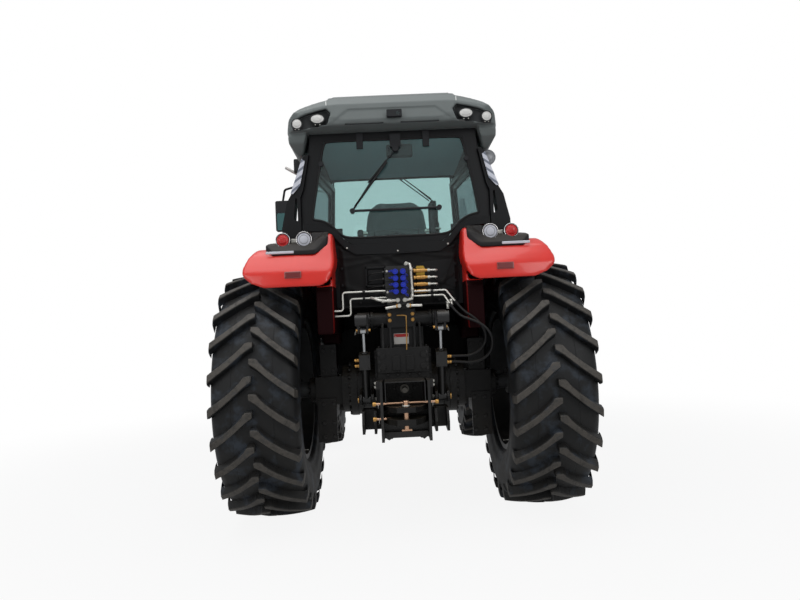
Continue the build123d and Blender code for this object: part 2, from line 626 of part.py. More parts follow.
def cab_rear_panel():
    """Moulded bulkhead: the curved band under the window, and the panel with its hatch below it."""
    back = CAB_REAR_Y - 30
    top = [(0, 1948), (327, 1949), (378, 1989), (441, 2062), (526, 2099), (671, 2109)]
    low = [(671, 2057), (523, 2051), (454, 2015), (376, 1923), (300, 1876), (0, 1870)]
    band = rear_prism(half_outline(top + low), (CAB_REAR_Y - 55, CAB_REAR_Y))
    lower = half_outline([(0, 1500), (450, 1500), (450, 1630), (430, 1670), (430, 1945), (0, 1945)])
    hatch = block((-235, -95), (back - 8, back), (1640, 1780))
    swell_form = outline([(150, 1620), (400, 1600), (400, 1820), (150, 1800)], 20)
    swell = rear_prism(swell_form, (back - 15, back))
    return rear_prism(lower, (back, CAB_REAR_Y)) + band + hatch + swell


def rear_pillars():
    """Moulded corner columns behind the side windows, with a hand slot."""
    column = outline([(677, 1966), (812, 1966), (815, 2085), (775, 2268), (744, 2322), (658, 2578),
                      (630, 2611), (606, 2611), (655, 2357), (677, 2301)], 5)
    slot = outline([(700, 2130), (728, 2151), (712, 2300), (700, 2290)], 4)
    shape = rear_prism(column, (CAB_REAR_Y - 60, CAB_REAR_Y + 60)) - rear_prism(slot, (-500, -200))
    return pair(shape - cab_fill())


def rear_window_fittings():
    """Wiper motor, arm and blade, the glass hinges and the pull bar, with the roof's camera above them."""
    glass, ring = CAB_REAR_Y - 30, CAB_REAR_Y - 35
    motor = rod((17, glass - 35, 2630), (17, glass, 2630), 24)
    motor += block((-22, 56), (ring - 25, ring), (2640, 2735))
    arm = rod((17, glass - 17, 2625), (-190, glass - 17, 2390), 6)
    blade = rod((-105, glass - 7, 2490), (-303, glass - 7, 2205), 7)
    hinge = block((215, 262), (ring - 16, ring), (2640, 2752))
    hinge += block((215, 262), (ring, glass), (2640, 2703))
    bar = bar_x((-311, 311), glass - 22, 2190, 9)
    knobs = [rod((x, glass - 35, 2190), (x, glass, 2190), 18) for x in (-311, 311)]
    camera = fillet(block((-37, 70), (-556, -512), (2807, 2856)).edges().filter_by(Axis.Y), 8)
    camera += rod((16, -522, 2830), (16, -500, 2830), 18)
    camera -= roof_body()
    return motor + arm + blade + pair(hinge) + bar + knobs + camera


ROOF_Y, ROOF_Z = (-560, 1560), (2550, ROOF_TOP + 10)     # room that the roof lies in
PANEL_DEPTH = 7                                          # how far the roof's rear panel is sunk


def roof_plan():
    """Plan outline of the roof, with bowed ends and round corners."""
    return outline([(-765, -300), (-735, -430), (-660, -498), (-300, -526), (300, -526), (660, -498),
                    (735, -430), (765, -300), (765, 1180), (700, 1400), (560, 1545), (-560, 1545),
                    (-700, 1400), (-765, 1180)], 60)


def roof_body():
    """Crowned body of the roof, rounded in its side and rear views, hollowed over the windscreen."""
    side = outline([(-430, CAB_TOP), (-505, 2775), (-524, 2806), (-492, 2930), (-410, 3000), (1250, 3000),
                    (1450, 2960), (1545, 2905), (1500, 2876), (1400, RING_TOP), (1396, CAB_TOP)], 12)
    rear = half_outline([(455, 3000), (655, 2972), (735, 2930), (758, 2885), (768, 2810),
                         (762, CAB_TOP)], 40)
    peak = block((-645, 645), (950, 1396), (CAB_TOP - 10, RING_TOP))
    return three_views(side, rear, roof_plan(), (-800, 800), ROOF_Y, ROOF_Z) - peak


def roof_cap():
    """Raised middle cap of the roof, with the gap on both sides of it."""
    side = outline([(-456, 2920), (-400, 3014), (-200, 3076), (300, ROOF_TOP), (900, ROOF_TOP - 10),
                    (1260, 3030), (1330, 2970), (1300, 2920)], 25)
    rear = half_outline([(290, ROOF_TOP), (420, 3052), (455, 3020), (455, 2900)], 22)
    plan = outline([(-455, -470), (455, -470), (455, 1340), (-455, 1340)], 50)
    return three_views(side, rear, plan, (-500, 500), ROOF_Y, ROOF_Z)


def roof():
    """Roof moulding: body, cap, side skirts, lamp recesses, sunk rear panel and the lip's slots."""
    plan = roof_plan()
    body = roof_body()
    skirt_side = outline([(-440, 2765), (-420, 2690), (-330, 2614), (-120, 2614), (40, 2670),
                          (120, 2765)], 30)
    skirt_rear = outline([(608, 2765), (656, 2614), (695, 2626), (742, 2690), (762, 2765)], 18)
    skirt = three_views(skirt_side, skirt_rear, plan, (600, 800), ROOF_Y, ROOF_Z) - cab_fill()
    panel = rear_prism(half_outline([(310, 2888), (430, 2790)]), (-560, -430)) & body
    panel -= Pos(0, PANEL_DEPTH, 0) * body
    groove = rear_prism(outline([(452, 2960), (462, 2960), (474, 3040), (464, 3040)]), (-480, 1300))
    slot = block((58, 332), (-560, -470), (2775, 2786))
    recess = rear_prism(lamp_recess(), (-600, LAMP_BED_Y))
    return (body - panel) + roof_cap() + pair(skirt) - pair(groove + slot + recess)


def lamp_recess():
    """Six-sided outline of a lamp recess in the roof's rear face."""
    return outline([(428, 2862), (458, 2905), (611, 2892), (700, 2856), (716, 2806), (700, 2760),
                    (456, 2784)], 8)


def seat():
    """Suspension seat: cushion, back with round shoulders, left armrest down and right armrest up."""
    cushion = fillet(block((-240, 240), (-40, 420), (1760, 1900)).edges().filter_by(Axis.Z), 50)
    back = half_outline([(215, 1780), (224, 2100), (205, 2235), (140, 2290)], 30)
    arms = block((-297, -250), (-120, 240), (2035, 2105)) + block((250, 297), (-130, -60), (2040, 2285))
    pivots = bar_x((-250, -210), -95, 2070, 16) + bar_x((210, 250), -95, 2070, 16)
    return cushion + rear_prism(back, (-160, -40)) + arms + pivots


STEER_CENTRE, STEER_FOOT = (0, 900, 1830), (0, 1165, 1478)


def consoles():
    """Dash with the column's socket, and the side console on the right."""
    dash_form = outline([(1340, CAB_SILL), (1150, CAB_SILL), (1120, 1600), (1180, 1700), (1340, 1740)], 15)
    side_form = outline([(-200, 1540), (520, 1540), (540, 1780), (480, 1830), (-200, 1800)], 15)
    dash = side_prism(dash_form, (-330, 330))
    return dash - rod(STEER_CENTRE, STEER_FOOT, 25) + side_prism(side_form, (250, 440))


def steering_wheel():
    """Steering wheel with its hub, spokes and column."""
    tilt = Vector(*STEER_CENTRE) - Vector(*STEER_FOOT)
    wheel = Torus(190, 14) + Cylinder(40, 30) + Box(380, 24, 12)
    return Plane(origin=STEER_CENTRE, z_dir=tilt) * wheel + rod(STEER_CENTRE, STEER_FOOT, 25)


# ---------------------------------------------------------------- fenders, lamps, tanks, steps
FENDER_REAR = (  # side view of the fender's rear end, from its lower edge up to the level top: y, z
    (-705, 1640), (-690, 1745), (-655, 1800), (-600, 1872), (-530, 1922), (-300, 1935), (-100, 1926),
    (60, 1896),
)


def fender_side(inset):
    """Side outline of the fender: round over the wheel in front, a moulded tail behind."""
    tail = [(y + inset, z - min(inset, max(0, z - 1640))) for y, z in FENDER_REAR]
    tail += [(60, 900), (-705 + inset, 900)]
    return outline(tail, 100) + Pos(0, REAR_R) * Circle(FENDER_R + FENDER_SKIN - inset)


def fender():
    """Right rear fender: moulded shell with a closed tail, inner wall and its rear flange."""
    tail_view = outline([(432, 1800), (455, 1705), (475, 1665), (520, 1640), (900, 1640), (985, 1680),
                         (1022, 1720), (1037, 1765), (1005, 1860), (955, 1935), (955, 1990), (500, 1990),
                         (455, 1930)], 38)
    front_view = outline([(FENDER_IN, 1200), (1037, 1200), (1037, 1765), (1005, 1860), (955, 1935),
                          (955, 1990), (500, 1990), (FENDER_IN, 1930)], 25)
    shell = side_prism(fender_side(0), (400, 1050))
    shell -= side_prism(fender_side(FENDER_SKIN - 3), (FENDER_IN + 20, 1014))
    shell -= rod((300, 0, REAR_R), (1100, 0, REAR_R), FENDER_R - 20)
    rear = shell & rear_prism(tail_view, (-720, 0))
    front = shell & rear_prism(front_view, (0, 1100))
    arch = (rear + front) - block((400, 1100), (0, 1100), (0, 1282))
    arch -= block((400, 1100), (-900, 0), (0, 1640))
    wall = rod((FENDER_IN, 0, REAR_R), (FENDER_IN + 20, 0, REAR_R), FENDER_R - 10)
    wall &= block((FENDER_IN, FENDER_IN + 20), (-560, 940), (1312, 2100))
    flange = block((FENDER_IN, 578), (-562, -548), (1312, 1660))
    foot = block((FENDER_IN, 600), (-60, 60), (1240, 1330))
    return arch + wall + flange + foot


def fender_decks():
    """Moulded lamp decks on the fenders, with a raised rounded front and the lamps' seats."""
    plan = outline([(500, -398), (500, -560), (560, -612), (850, -612), (905, -560), (905, -470),
                    (860, -398)], 20)
    side = outline([(-625, 1840), (-625, 1880), (-560, 1945), (-440, 1975), (-398, 1975), (-398, 1840)], 10)
    deck = side_prism(side, (480, 920)) & plan_prism(plan, (1800, 2000))
    seats = lamp(650, FENDER_LAMP_Y, 1985, 56, 200) + lamp(797, FENDER_LAMP_Y, 1985, 52, 200)
    return pair(deck - side_prism(fender_side(0), (400, 1050)) - seats)


FENDER_LAMP_Y = -440


def lamp(x, y, z, radius, depth):
    """A round lamp that faces the rear."""
    return rod((x, y - depth, z), (x, y, z), radius)


def work_lamps():
    """Clear lamps: on the fender decks, in the roof's recesses, on the columns, and beside the cab."""
    fender_lamp = lamp(650, FENDER_LAMP_Y, 1985, 56, 60)
    roof_round = lamp(668, LAMP_BED_Y, 2812, 40, 32)
    oval_plane = Plane(origin=(523, LAMP_BED_Y, 2838), x_dir=(1, 0, 0), z_dir=(0, -1, 0))
    lens = outline([(727, 2326), (744, 2330), (656, 2577), (634, 2560), (675, 2385)])
    column_lens = rear_prism(lens, (CAB_REAR_Y - 72, CAB_REAR_Y - 60))
    roof_oval = extrude(oval_plane * Ellipse(56, 37), 34)
    side_right = lamp(706, -200, 2574, 42, 62) + block((650, 676), (-275, -225), (2538, 2560))
    side_left = fillet(block((-800, -732), (170, 230), (2628, 2745)).edges().filter_by(Axis.Y), 14)
    side_left += block((-760, -740), (190, 210), (2740, CAB_TOP))
    return pair(fender_lamp) + [pair(roof_round), pair(roof_oval), pair(column_lens), side_right, side_left]


def tail_lamps():
    """Red round lamps on the fender decks, with the red reflectors on the fender tails."""
    red = lamp(797, FENDER_LAMP_Y, 1985, 52, 60)
    reflector = block((650, 760), (-706, -640), (1700, 1744)) - side_prism(fender_side(0), (400, 1050))
    return pair(red) + pair(reflector)


def fuel_tank():
    """Moulded tank on the left, under the cab."""
    return fillet(block((-800, -450), (1000, 1900), (600, 1120)).edges(), 40)


def battery_box():
    """Battery and tool box on the right, under the cab."""
    return fillet(block((450, 800), (1000, 1560), (640, 1100)).edges().filter_by(Axis.Z), 30)


def steps():
    """Three treads each side below the door, between two side plates."""
    treads = [block((800, 1010), (1100, 1420), (z, z + 30)) for z in (520, 800, 1080)]
    plates = [block((800, 960), (y, y + 8), (500, 1130)) for y in (1092, 1420)]
    return pair(treads[0] + treads[1:] + plates)


def exhaust():
    """Silencer beside the hood's right rear corner, with the pipe from the engine."""
    can = rod((420, 1640, 1450), (420, 1640, 2560), 45)
    tail = rod((420, 1640, 2560), (420, 1640, 2650), 32)
    feed = bent_pipe([(225, 1800, 1085), (420, 1800, 1085), (420, 1640, 1220), (420, 1640, 1455)], 28, 50)
    return can + tail + feed


def mirror_left():
    """Left mirror: foot on the front pillar, bent arm, and the housing with its visor."""
    foot = block((-668, -600), (CAB_FRONT_Y + 35, CAB_FRONT_Y + 55), (2690, 2755))
    bends = [(-640, 1405, 2735), (-980, 1415, 2812), (-1085, 1430, 2790), (-1110, 1440, 2670)]
    head = outline([(-1186, 2370), (-1040, 2370), (-1033, 2560), (-1040, 2680), (-1186, 2680)], 18)
    glass = outline([(-1176, 2380), (-1050, 2380), (-1044, 2555), (-1176, 2555)], 12)
    housing = rear_prism(head, (1430, 1470)) - rear_prism(glass, (1400, 1436))
    return foot + bent_pipe(bends, 11, 30) + housing


# ---------------------------------------------------------------- hood
SHEET = 10                                    # thickness of the hood's sheet and trim


def hood_form(inset, drop=0, back=0):
    """Hood body, set in from the outside. drop and back carry it past its open underside and rear."""
    rear, nose, half = HOOD_REAR_Y - back, HOOD_NOSE_Y - inset, HOOD_HALF_W - inset
    side = outline([(rear, 1150 - drop), (rear, 1862 - inset), (2300, 1830 - inset), (3000, 1740 - inset),
                    (3380, 1640 - inset), (3510 - inset, 1560 - inset), (nose, 1430),
                    (nose - 30, 1060 - drop), (3300, 1040 - drop)])
    side = rounded_beyond(side, 2000, 1400, 80 - inset)
    front = half_outline([(190, 1860 - inset), (265 - inset, 1800), (half - 8, 1690), (half, 1550),
                          (half, 1000 - drop)], 50 - inset)
    plan = outline([(half, rear), (half, 2700), (half - 30, 3300), (half - 80, 3480), (half - 150, nose),
                    (150 - half, nose), (80 - half, 3480), (30 - half, 3300), (-half, 2700), (-half, rear)])
    plan = rounded_beyond(plan, -half - 1, 3000, 60 - inset)
    return three_views(side, front, plan, (-half, half), (rear, nose), (700, 1870))


def grille_opening(margin):
    """Nose opening and the two side openings of the hood, as cutting blocks."""
    low, high = 1120 + margin, 1400 - margin
    nose = half_outline([(0, high), (165 - margin, high), (175 - margin, low), (0, low)])
    flank = outline([(2420 + margin, 1190 + margin), (3160 - margin, 1170 + margin),
                     (3200 - margin, 1400 - margin), (2420 + margin, 1480 - margin)])
    return rear_prism(nose, (3400, 3700)) + pair(side_prism(flank, (150, 400)))


def lamp_opening():
    """Openings for the two headlamps, above the nose grille."""
    lamps = outline([(30, 1530), (150, 1530), (172, 1430), (60, 1418), (30, 1425)])
    return pair(rear_prism(lamps, (3400, 3700)))


def hood_shell():
    """Sheet hood, open underneath and at the rear, with its grille openings and two hinge eyes."""
    sheet = hood_form(0) - hood_form(SHEET, 300, 50) - grille_opening(0) - lamp_opening()
    eye = bar_x((110, 135), *HOOD_HINGE, 16) + block((110, 135), (1532, 1570), (1830, 1850))
    return sheet + pair(eye - bar_x((100, 145), *HOOD_HINGE, 8 + PLAY))


def hood_support():
    """Bulkhead on the clutch housing, with the hood's hinge pins on top."""
    y = (1500, 1516)
    plate = half_outline([(0, 1130), (250, 1130), (270, 1300), (270, 1760), (200, 1800), (0, 1815)])
    bracket = side_prism(outline([(1500, 1730), (1516, 1730), (1560, 1800), (1560, 1833), (1530, 1838),
                                  (1500, 1800)]), (80, 104))
    return rear_prism(plate, y) + pair(bracket + bar_x((90, 140), *HOOD_HINGE, 8))


def hood_grille():
    """Slatted grilles that fill the nose and side openings."""
    sheet = hood_form(0) - hood_form(SHEET - 2, 300, 50)
    field = sheet & grille_opening(14)
    slats = [field & block((-400, 400), (2300, 3700), (z, z + 9)) for z in range(1142, 1470, 28)]
    return (sheet & grille_opening(0)) - field + slats


def headlamps():
    """Lamp pair set into the nose above the grille."""
    return (hood_form(0) - hood_form(SHEET - 2, 300, 50)) & lamp_opening()


# ---------------------------------------------------------------- write every piece
def main():
    os.makedirs("parts", exist_ok=True)
    build_wheels()
    for side, word in ((-1, "left"), (1, "right")):
        save(f"knuckle_{word}", mirrored(knuckle(), side))
        save(f"door_frame_{word}", mirrored(door_frame(), side))
        save(f"door_glass_{word}", mirrored(door_glass(), side))
    pieces = {
        "rear_housing": rear_housing(), "axle_housings": pair(axle_housing()),
        "transmission_housing": transmission(), "engine_block": engine(),
        "front_frame": front_frame(), "front_axle": front_axle(), "front_weights": front_weights(),
        "tie_rod": tie_rod(), "lift_arms": lift_arms(), "lift_barrels": lift_barrels(),
        "lift_rods": lift_rods(), "hitch_frame": hitch_frame(), "hitch_jaw": hitch_jaw(),
        "hitch_pins": hitch_pins(),
        "pto_guard": pto_guard(), "pto_shaft": pto_shaft(), "valve_block": valve_block(),
        "coupler_caps": coupler_caps(), "hydraulic_pipes": hydraulic_pipes(), "hose_high": hose_high(),
        "hose_low": hose_low(),
        "cab_frame": cab_frame(), "cab_windows": cab_windows(), "rear_window": rear_window(),
        "cab_floor": cab_floor(), "cab_rear_panel": cab_rear_panel(), "roof": roof(), "seat": seat(),
        "consoles": consoles(), "steering_wheel": steering_wheel(), "fenders": pair(fender()),
        "fender_decks": fender_decks(), "work_lamps": work_lamps(), "tail_lamps": tail_lamps(),
        "fuel_tank": fuel_tank(), "battery_box": battery_box(), "steps": steps(), "exhaust": exhaust(),
        "mirror": mirror_left(), "hood_shell": hood_shell(), "hood_grille": hood_grille(),
        "headlamps": headlamps(), "hood_support": hood_support(),
        "rear_pillars": rear_pillars(), "rear_window_fittings": rear_window_fittings(),
        "valve_fittings": valve_fittings(),
    }
    for name, shape in pieces.items():
        save(name, shape)


main()
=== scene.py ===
import math

import bmesh
import bpy
from mathutils import Matrix, Vector
from mathutils.bvhtree import BVHTree


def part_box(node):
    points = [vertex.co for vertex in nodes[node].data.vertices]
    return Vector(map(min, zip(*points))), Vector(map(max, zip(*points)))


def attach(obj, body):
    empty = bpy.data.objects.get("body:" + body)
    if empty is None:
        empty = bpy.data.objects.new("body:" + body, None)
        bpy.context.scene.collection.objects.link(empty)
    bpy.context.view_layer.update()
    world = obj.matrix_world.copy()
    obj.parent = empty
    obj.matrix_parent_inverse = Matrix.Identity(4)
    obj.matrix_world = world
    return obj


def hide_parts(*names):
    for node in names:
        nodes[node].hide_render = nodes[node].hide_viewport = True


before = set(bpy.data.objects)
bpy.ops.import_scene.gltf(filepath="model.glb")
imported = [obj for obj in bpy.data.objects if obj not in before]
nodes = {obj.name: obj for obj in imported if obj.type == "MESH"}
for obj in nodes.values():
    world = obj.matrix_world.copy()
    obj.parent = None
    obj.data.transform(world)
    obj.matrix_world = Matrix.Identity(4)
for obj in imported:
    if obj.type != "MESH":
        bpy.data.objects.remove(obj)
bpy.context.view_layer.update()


# ------------------------------------------------------------------ camera
# A 28 mm lens stands 4.8 m behind the rear axle at the height of the lift, a little left of the
# middle of the tractor. It looks slightly up and leans to one side.
def link(thing):
    bpy.context.scene.collection.objects.link(thing)
    return thing


camera_data = bpy.data.cameras.new("camera")
camera_data.lens = 28.0
camera_data.sensor_width = 36.0
camera_data.clip_end = 200.0
camera = link(bpy.data.objects.new("camera", camera_data))
turn_right, look_up, lean = (math.radians(angle) for angle in (0.82, 2.73, 2.68))
camera.matrix_world = (
    Matrix.Translation((-0.064, -6.325, 1.328))
    @ Matrix.Rotation(-turn_right, 4, "Z")
    @ Matrix.Rotation(math.pi / 2 + look_up, 4, "X")
    @ Matrix.Rotation(-lean, 4, "Z")
)
bpy.context.scene.camera = camera


# ------------------------------------------------------------------ floor and light
# The tractor stands on a plain pale floor in a white studio. A wide panel overhead and two softer
# ones behind the camera light it evenly.
def linear(red, green, blue):
    """A colour as it looks on a swatch, 0 to 255, made linear."""
    def one(value):
        value /= 255
        return value / 12.92 if value <= 0.04045 else ((value + 0.055) / 1.055) ** 2.4

    return one(red), one(green), one(blue), 1.0


def mesh_object(name, points, faces, material=None):
    mesh = bpy.data.meshes.new(name)
    mesh.from_pydata(points, [], faces)
    if material:
        mesh.materials.append(material)
    mesh.update()
    return link(bpy.data.objects.new(name, mesh))


def node_in(tree, kind, given=None, **settings):
    """A new node in a tree. settings are its own properties; given fills inputs by value or by link."""
    made = tree.nodes.new(kind)
    for key, value in settings.items():
        setattr(made, key, value)
    for key, value in (given or {}).items():
        if isinstance(value, bpy.types.NodeSocket):
            tree.links.new(value, made.inputs[key])
        else:
            made.inputs[key].default_value = value
    return made


def maths(tree, operation, first, second=None, clamp=False):
    given = {0: first} if second is None else {0: first, 1: second}
    return node_in(tree, "ShaderNodeMath", given, operation=operation, use_clamp=clamp).outputs[0]


def own_place(tree, axis=None):
    """The place on the object itself, or one coordinate of it."""
    place = node_in(tree, "ShaderNodeTexCoord").outputs["Object"]
    return node_in(tree, "ShaderNodeSeparateXYZ", {0: place}).outputs[axis] if axis else place


def shown_white(tree):
    """A factor of 1 where the camera or glass looks straight at this surface, less in a mirror."""
    path = node_in(tree, "ShaderNodeLightPath").outputs
    through_glass = maths(tree, "MAXIMUM", path["Is Camera Ray"],
                          maths(tree, "MULTIPLY", path["Is Transmission Ray"], 1.0))
    return maths(tree, "MAXIMUM", through_glass, maths(tree, "MULTIPLY", path["Is Glossy Ray"], 0.35))


def blend(tree, factor, first, second):
    """One shader that goes from first to second by a factor."""
    return node_in(tree, "ShaderNodeMixShader", {0: factor, 1: first, 2: second}).outputs[0]


def new_material(name):
    """A material with its node tree and the principled shader's inputs."""
    made = bpy.data.materials.new(name)
    made.use_nodes = True
    return made, made.node_tree, made.node_tree.nodes["Principled BSDF"].inputs


world = bpy.data.worlds.new("studio")
bpy.context.scene.world = world
world.use_nodes = True
air = world.node_tree
air.nodes.clear()
sky_way = node_in(air, "ShaderNodeSeparateXYZ", {0: node_in(air, "ShaderNodeTexCoord").outputs["Generated"]})
sky_rise = node_in(air, "ShaderNodeMapRange", {
    "Value": sky_way.outputs["Z"], "From Min": -0.1, "From Max": 1.0, "To Min": 0.16, "To Max": 0.50})
sky_light = node_in(air, "ShaderNodeBackground", {"Color": (0.86, 0.90, 0.95, 1),
                                                  "Strength": sky_rise.outputs["Result"]})
sky_seen = node_in(air, "ShaderNodeBackground", {"Color": (1, 1, 1, 1)})
node_in(air, "ShaderNodeOutputWorld",
        {"Surface": blend(air, shown_white(air), sky_light.outputs[0], sky_seen.outputs[0])})

floor_finish, ground, dull_grey = new_material("studio_floor")
dull_grey["Base Color"].default_value = (0.50, 0.50, 0.50, 1)
dull_grey["Roughness"].default_value = 1.0
dull_grey["Specular IOR Level"].default_value = 0.0
reach = node_in(ground, "ShaderNodeVectorMath", {0: own_place(ground)}, operation="LENGTH")
fade = node_in(ground, "ShaderNodeMapRange", {
    "Value": reach.outputs["Value"], "From Min": 2.0, "From Max": 7.0, "To Min": 0.90, "To Max": 1.0},
    interpolation_type="SMOOTHSTEP")
glow_share = maths(ground, "MULTIPLY", fade.outputs["Result"], shown_white(ground))
floor_glow = node_in(ground, "ShaderNodeEmission").outputs[0]
ground.links.new(blend(ground, glow_share, ground.nodes["Principled BSDF"].outputs[0], floor_glow),
                 ground.nodes["Material Output"].inputs["Surface"])
FLOOR = 60   # metres from the middle to each edge
floor = mesh_object("floor", [(-FLOOR, -FLOOR, 0), (FLOOR, -FLOOR, 0), (FLOOR, FLOOR, 0), (-FLOOR, FLOOR, 0)],
                    [(0, 1, 2, 3)], floor_finish)


def panel_lamp(name, place, towards, size, watts):
    data = bpy.data.lights.new(name, "AREA")
    data.shape = "RECTANGLE"
    data.size, data.size_y = size
    data.energy = watts
    lamp = link(bpy.data.objects.new(name, data))
    lamp.location = place
    lamp.rotation_euler = (Vector(towards) - Vector(place)).to_track_quat("-Z", "Y").to_euler()


panel_lamp("panel_overhead", (-1.0, -2.5, 7.5), (0, -0.5, 1.0), (7, 7), 300)
panel_lamp("panel_right", (4.5, -8.0, 4.5), (0, -1.5, 1.4), (4, 3), 125)
panel_lamp("panel_left", (-5.0, -7.5, 3.5), (0, -1.5, 1.2), (4, 3), 80)
bpy.context.scene.view_settings.view_transform = "Standard"


# ------------------------------------------------------------------ lift hoses
# Two rubber hydraulic hoses leave the right lift cylinder, swing out beside the fender wall and
# climb to the steel pipes under the valve block. Each is crimped into a plated fitting.
def node_group(name, tree_kind, inputs, outputs):
    """An empty node group. Sockets are name: kind, and a shader's inputs may be name: start value."""
    group = bpy.data.node_groups.new(name, tree_kind)
    for key, value in inputs.items():
        kind = value if isinstance(value, str) else "Color" if isinstance(value, tuple) else "Float"
        socket = group.interface.new_socket(key, in_out="INPUT", socket_type="NodeSocket" + kind)
        if kind != value:
            socket.default_value = value
    for key, kind in outputs.items():
        group.interface.new_socket(key, in_out="OUTPUT", socket_type="NodeSocket" + kind)
    return group, node_in(group, "NodeGroupInput").outputs, node_in(group, "NodeGroupOutput").inputs


def ramp_between(tree, value, low, high):
    """0 below low, 1 above high, smooth between."""
    return node_in(tree, "ShaderNodeMapRange", {"Value": value, "From Min": low, "From Max": high},
                   interpolation_type="SMOOTHSTEP").outputs["Result"]


def noise(tree, scale, detail=4.0, roughness=0.55):
    return node_in(tree, "ShaderNodeTexNoise", {"Vector": own_place(tree), "Scale": scale, "Detail": detail,
                                                "Roughness": roughness}).outputs["Fac"]


def mixed(tree, factor, first, second):
    """Colour mix; first and second are colours or sockets."""
    given = {"Factor": factor, 6: first, 7: second}
    return node_in(tree, "ShaderNodeMix", given, data_type="RGBA").outputs[2]


# Dust lies on what faces up and on what is low, in uneven patches; it dulls the surface.
dusty, given, gives = node_group(
    "dusty surface", "ShaderNodeTree",
    {"Colour": (0.1, 0.1, 0.1, 1), "Dust Colour": linear(150, 138, 118), "Dust On Top": 0.2, "Dust Low": 0.2,
     "Patch Size": 3.0, "Grain Scale": 220.0, "Mottle": 0.15, "Roughness": 0.5},
    {"Colour": "Color", "Roughness": "Float", "Height": "Float"})
facing = node_in(dusty, "ShaderNodeSeparateXYZ",
                 {0: node_in(dusty, "ShaderNodeNewGeometry").outputs["Normal"]}).outputs["Z"]
patches = ramp_between(dusty, noise(dusty, given["Patch Size"], 6.0, 0.62), 0.35, 0.68)
on_top = maths(dusty, "MULTIPLY", ramp_between(dusty, facing, 0.25, 1.0), given["Dust On Top"])
low_down = maths(dusty, "SUBTRACT", 1.0, ramp_between(dusty, own_place(dusty, "Z"), 0.1, 1.5))
cover = maths(dusty, "ADD", on_top, maths(dusty, "MULTIPLY", low_down, given["Dust Low"]))
cover = maths(dusty, "MULTIPLY", cover, maths(dusty, "ADD", patches, 0.35), clamp=True)
mottle = maths(dusty, "MULTIPLY", maths(dusty, "SUBTRACT", noise(dusty, 11.0, 5.0), 0.5), given["Mottle"])
brighter = maths(dusty, "ADD", maths(dusty, "MULTIPLY", mottle, 2.0), 1.0)
tint = node_in(dusty, "ShaderNodeHueSaturation", {"Color": given["Colour"], "Value": brighter})
dull = maths(dusty, "ADD", given["Roughness"], maths(dusty, "MULTIPLY", cover, 0.5))
for key, value in (("Colour", mixed(dusty, cover, tint.outputs["Color"], given["Dust Colour"])),
                   ("Roughness", maths(dusty, "ADD", dull, mottle, clamp=True)),
                   ("Height", noise(dusty, given["Grain Scale"], 3.0, 0.6))):
    dusty.links.new(value, gives[key])


def finish(name, colour, roughness, metallic=0.0, top=0.05, low=0.0, grain=220.0, depth=0.0, coat=0.0,
           mottle=0.08, dust=(150, 138, 118), soft=0.0, specular=0.5):
    """A material on the dusty surface group. depth is the grain's height and soft rounds edges, in mm."""
    made, tree, shader = new_material(name)
    surface = node_in(tree, "ShaderNodeGroup", {
        "Colour": linear(*colour), "Dust Colour": linear(*dust), "Dust On Top": top * 0.7,
        "Dust Low": low * 0.45, "Grain Scale": grain, "Mottle": mottle, "Roughness": roughness},
        node_tree=dusty)
    tree.links.new(surface.outputs["Colour"], shader["Base Color"])
    tree.links.new(surface.outputs["Roughness"], shader["Roughness"])
    shader["Metallic"].default_value = metallic
    shader["Coat Weight"].default_value = coat
    shader["Specular IOR Level"].default_value = specular
    if depth or soft:
        bump = node_in(tree, "ShaderNodeBump", {"Distance": max(depth, 0.001) / 1000,
                                                "Height": surface.outputs["Height"]})
        if soft:
            rounded = node_in(tree, "ShaderNodeBevel", {"Radius": soft / 1000}, samples=4)
            tree.links.new(rounded.outputs["Normal"], bump.inputs["Normal"])
        tree.links.new(bump.outputs["Normal"], shader["Normal"])
    return made


def dress(material, *names):
    """Gives CAD nodes their material."""
    for name in names:
        for slot in nodes[name].material_slots:
            slot.material = material


def placed(thing, body, slot, *replaced):
    """Rides a finished piece on its body and hides the CAD nodes it replaces; slot is not used."""
    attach(thing, body)
    if replaced:
        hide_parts(*replaced)
    return thing


def round_curve(name, path, radius, rings, steps, closed=False):
    """A round curve that follows straight runs and is rounded where they meet."""
    curve = bpy.data.curves.new(name, "CURVE")
    curve.dimensions = "3D"
    curve.bevel_depth = radius
    curve.bevel_resolution = rings
    curve.resolution_u = steps
    curve.use_fill_caps = True
    line = curve.splines.new("NURBS")
    line.points.add(len(path) - 1)
    for point, spot in zip(line.points, path):
        point.co = (*spot, 1)
    line.order_u = 3
    line.use_endpoint_u = not closed
    line.use_cyclic_u = closed
    return link(bpy.data.objects.new(name, curve))


def plain_mesh(thing):
    """The mesh that an object's curve or modifiers come out as."""
    bpy.context.view_layer.update()
    return bpy.data.meshes.new_from_object(thing.evaluated_get(bpy.context.evaluated_depsgraph_get()))


hose_rubber = finish("hose_rubber", (18, 18, 20), 0.5, top=0.15, low=0.15, grain=900, depth=0.15,
                     mottle=0.12, specular=0.3)
HOSE_BORE = 0.018
HOSES = {   # each hose's route from its cylinder port to its pipe, in metres
    "high": [(0.331, -2.0028, 1.1294), (0.395, -2.0028, 1.1294), (0.470, -2.025, 1.128),
             (0.540, -2.070, 1.170), (0.572, -2.107, 1.245), (0.548, -2.129, 1.325), (0.490, -2.123, 1.390),
             (0.421, -2.094, 1.438), (0.372, -2.073, 1.508)],
    "low": [(0.331, -1.9920, 1.0909), (0.390, -1.9920, 1.0909), (0.455, -2.017, 1.078),
            (0.545, -2.075, 1.098), (0.602, -2.125, 1.160), (0.606, -2.157, 1.250), (0.555, -2.167, 1.330),
            (0.472, -2.149, 1.374), (0.384, -2.106, 1.408), (0.336, -2.074, 1.492)],
}


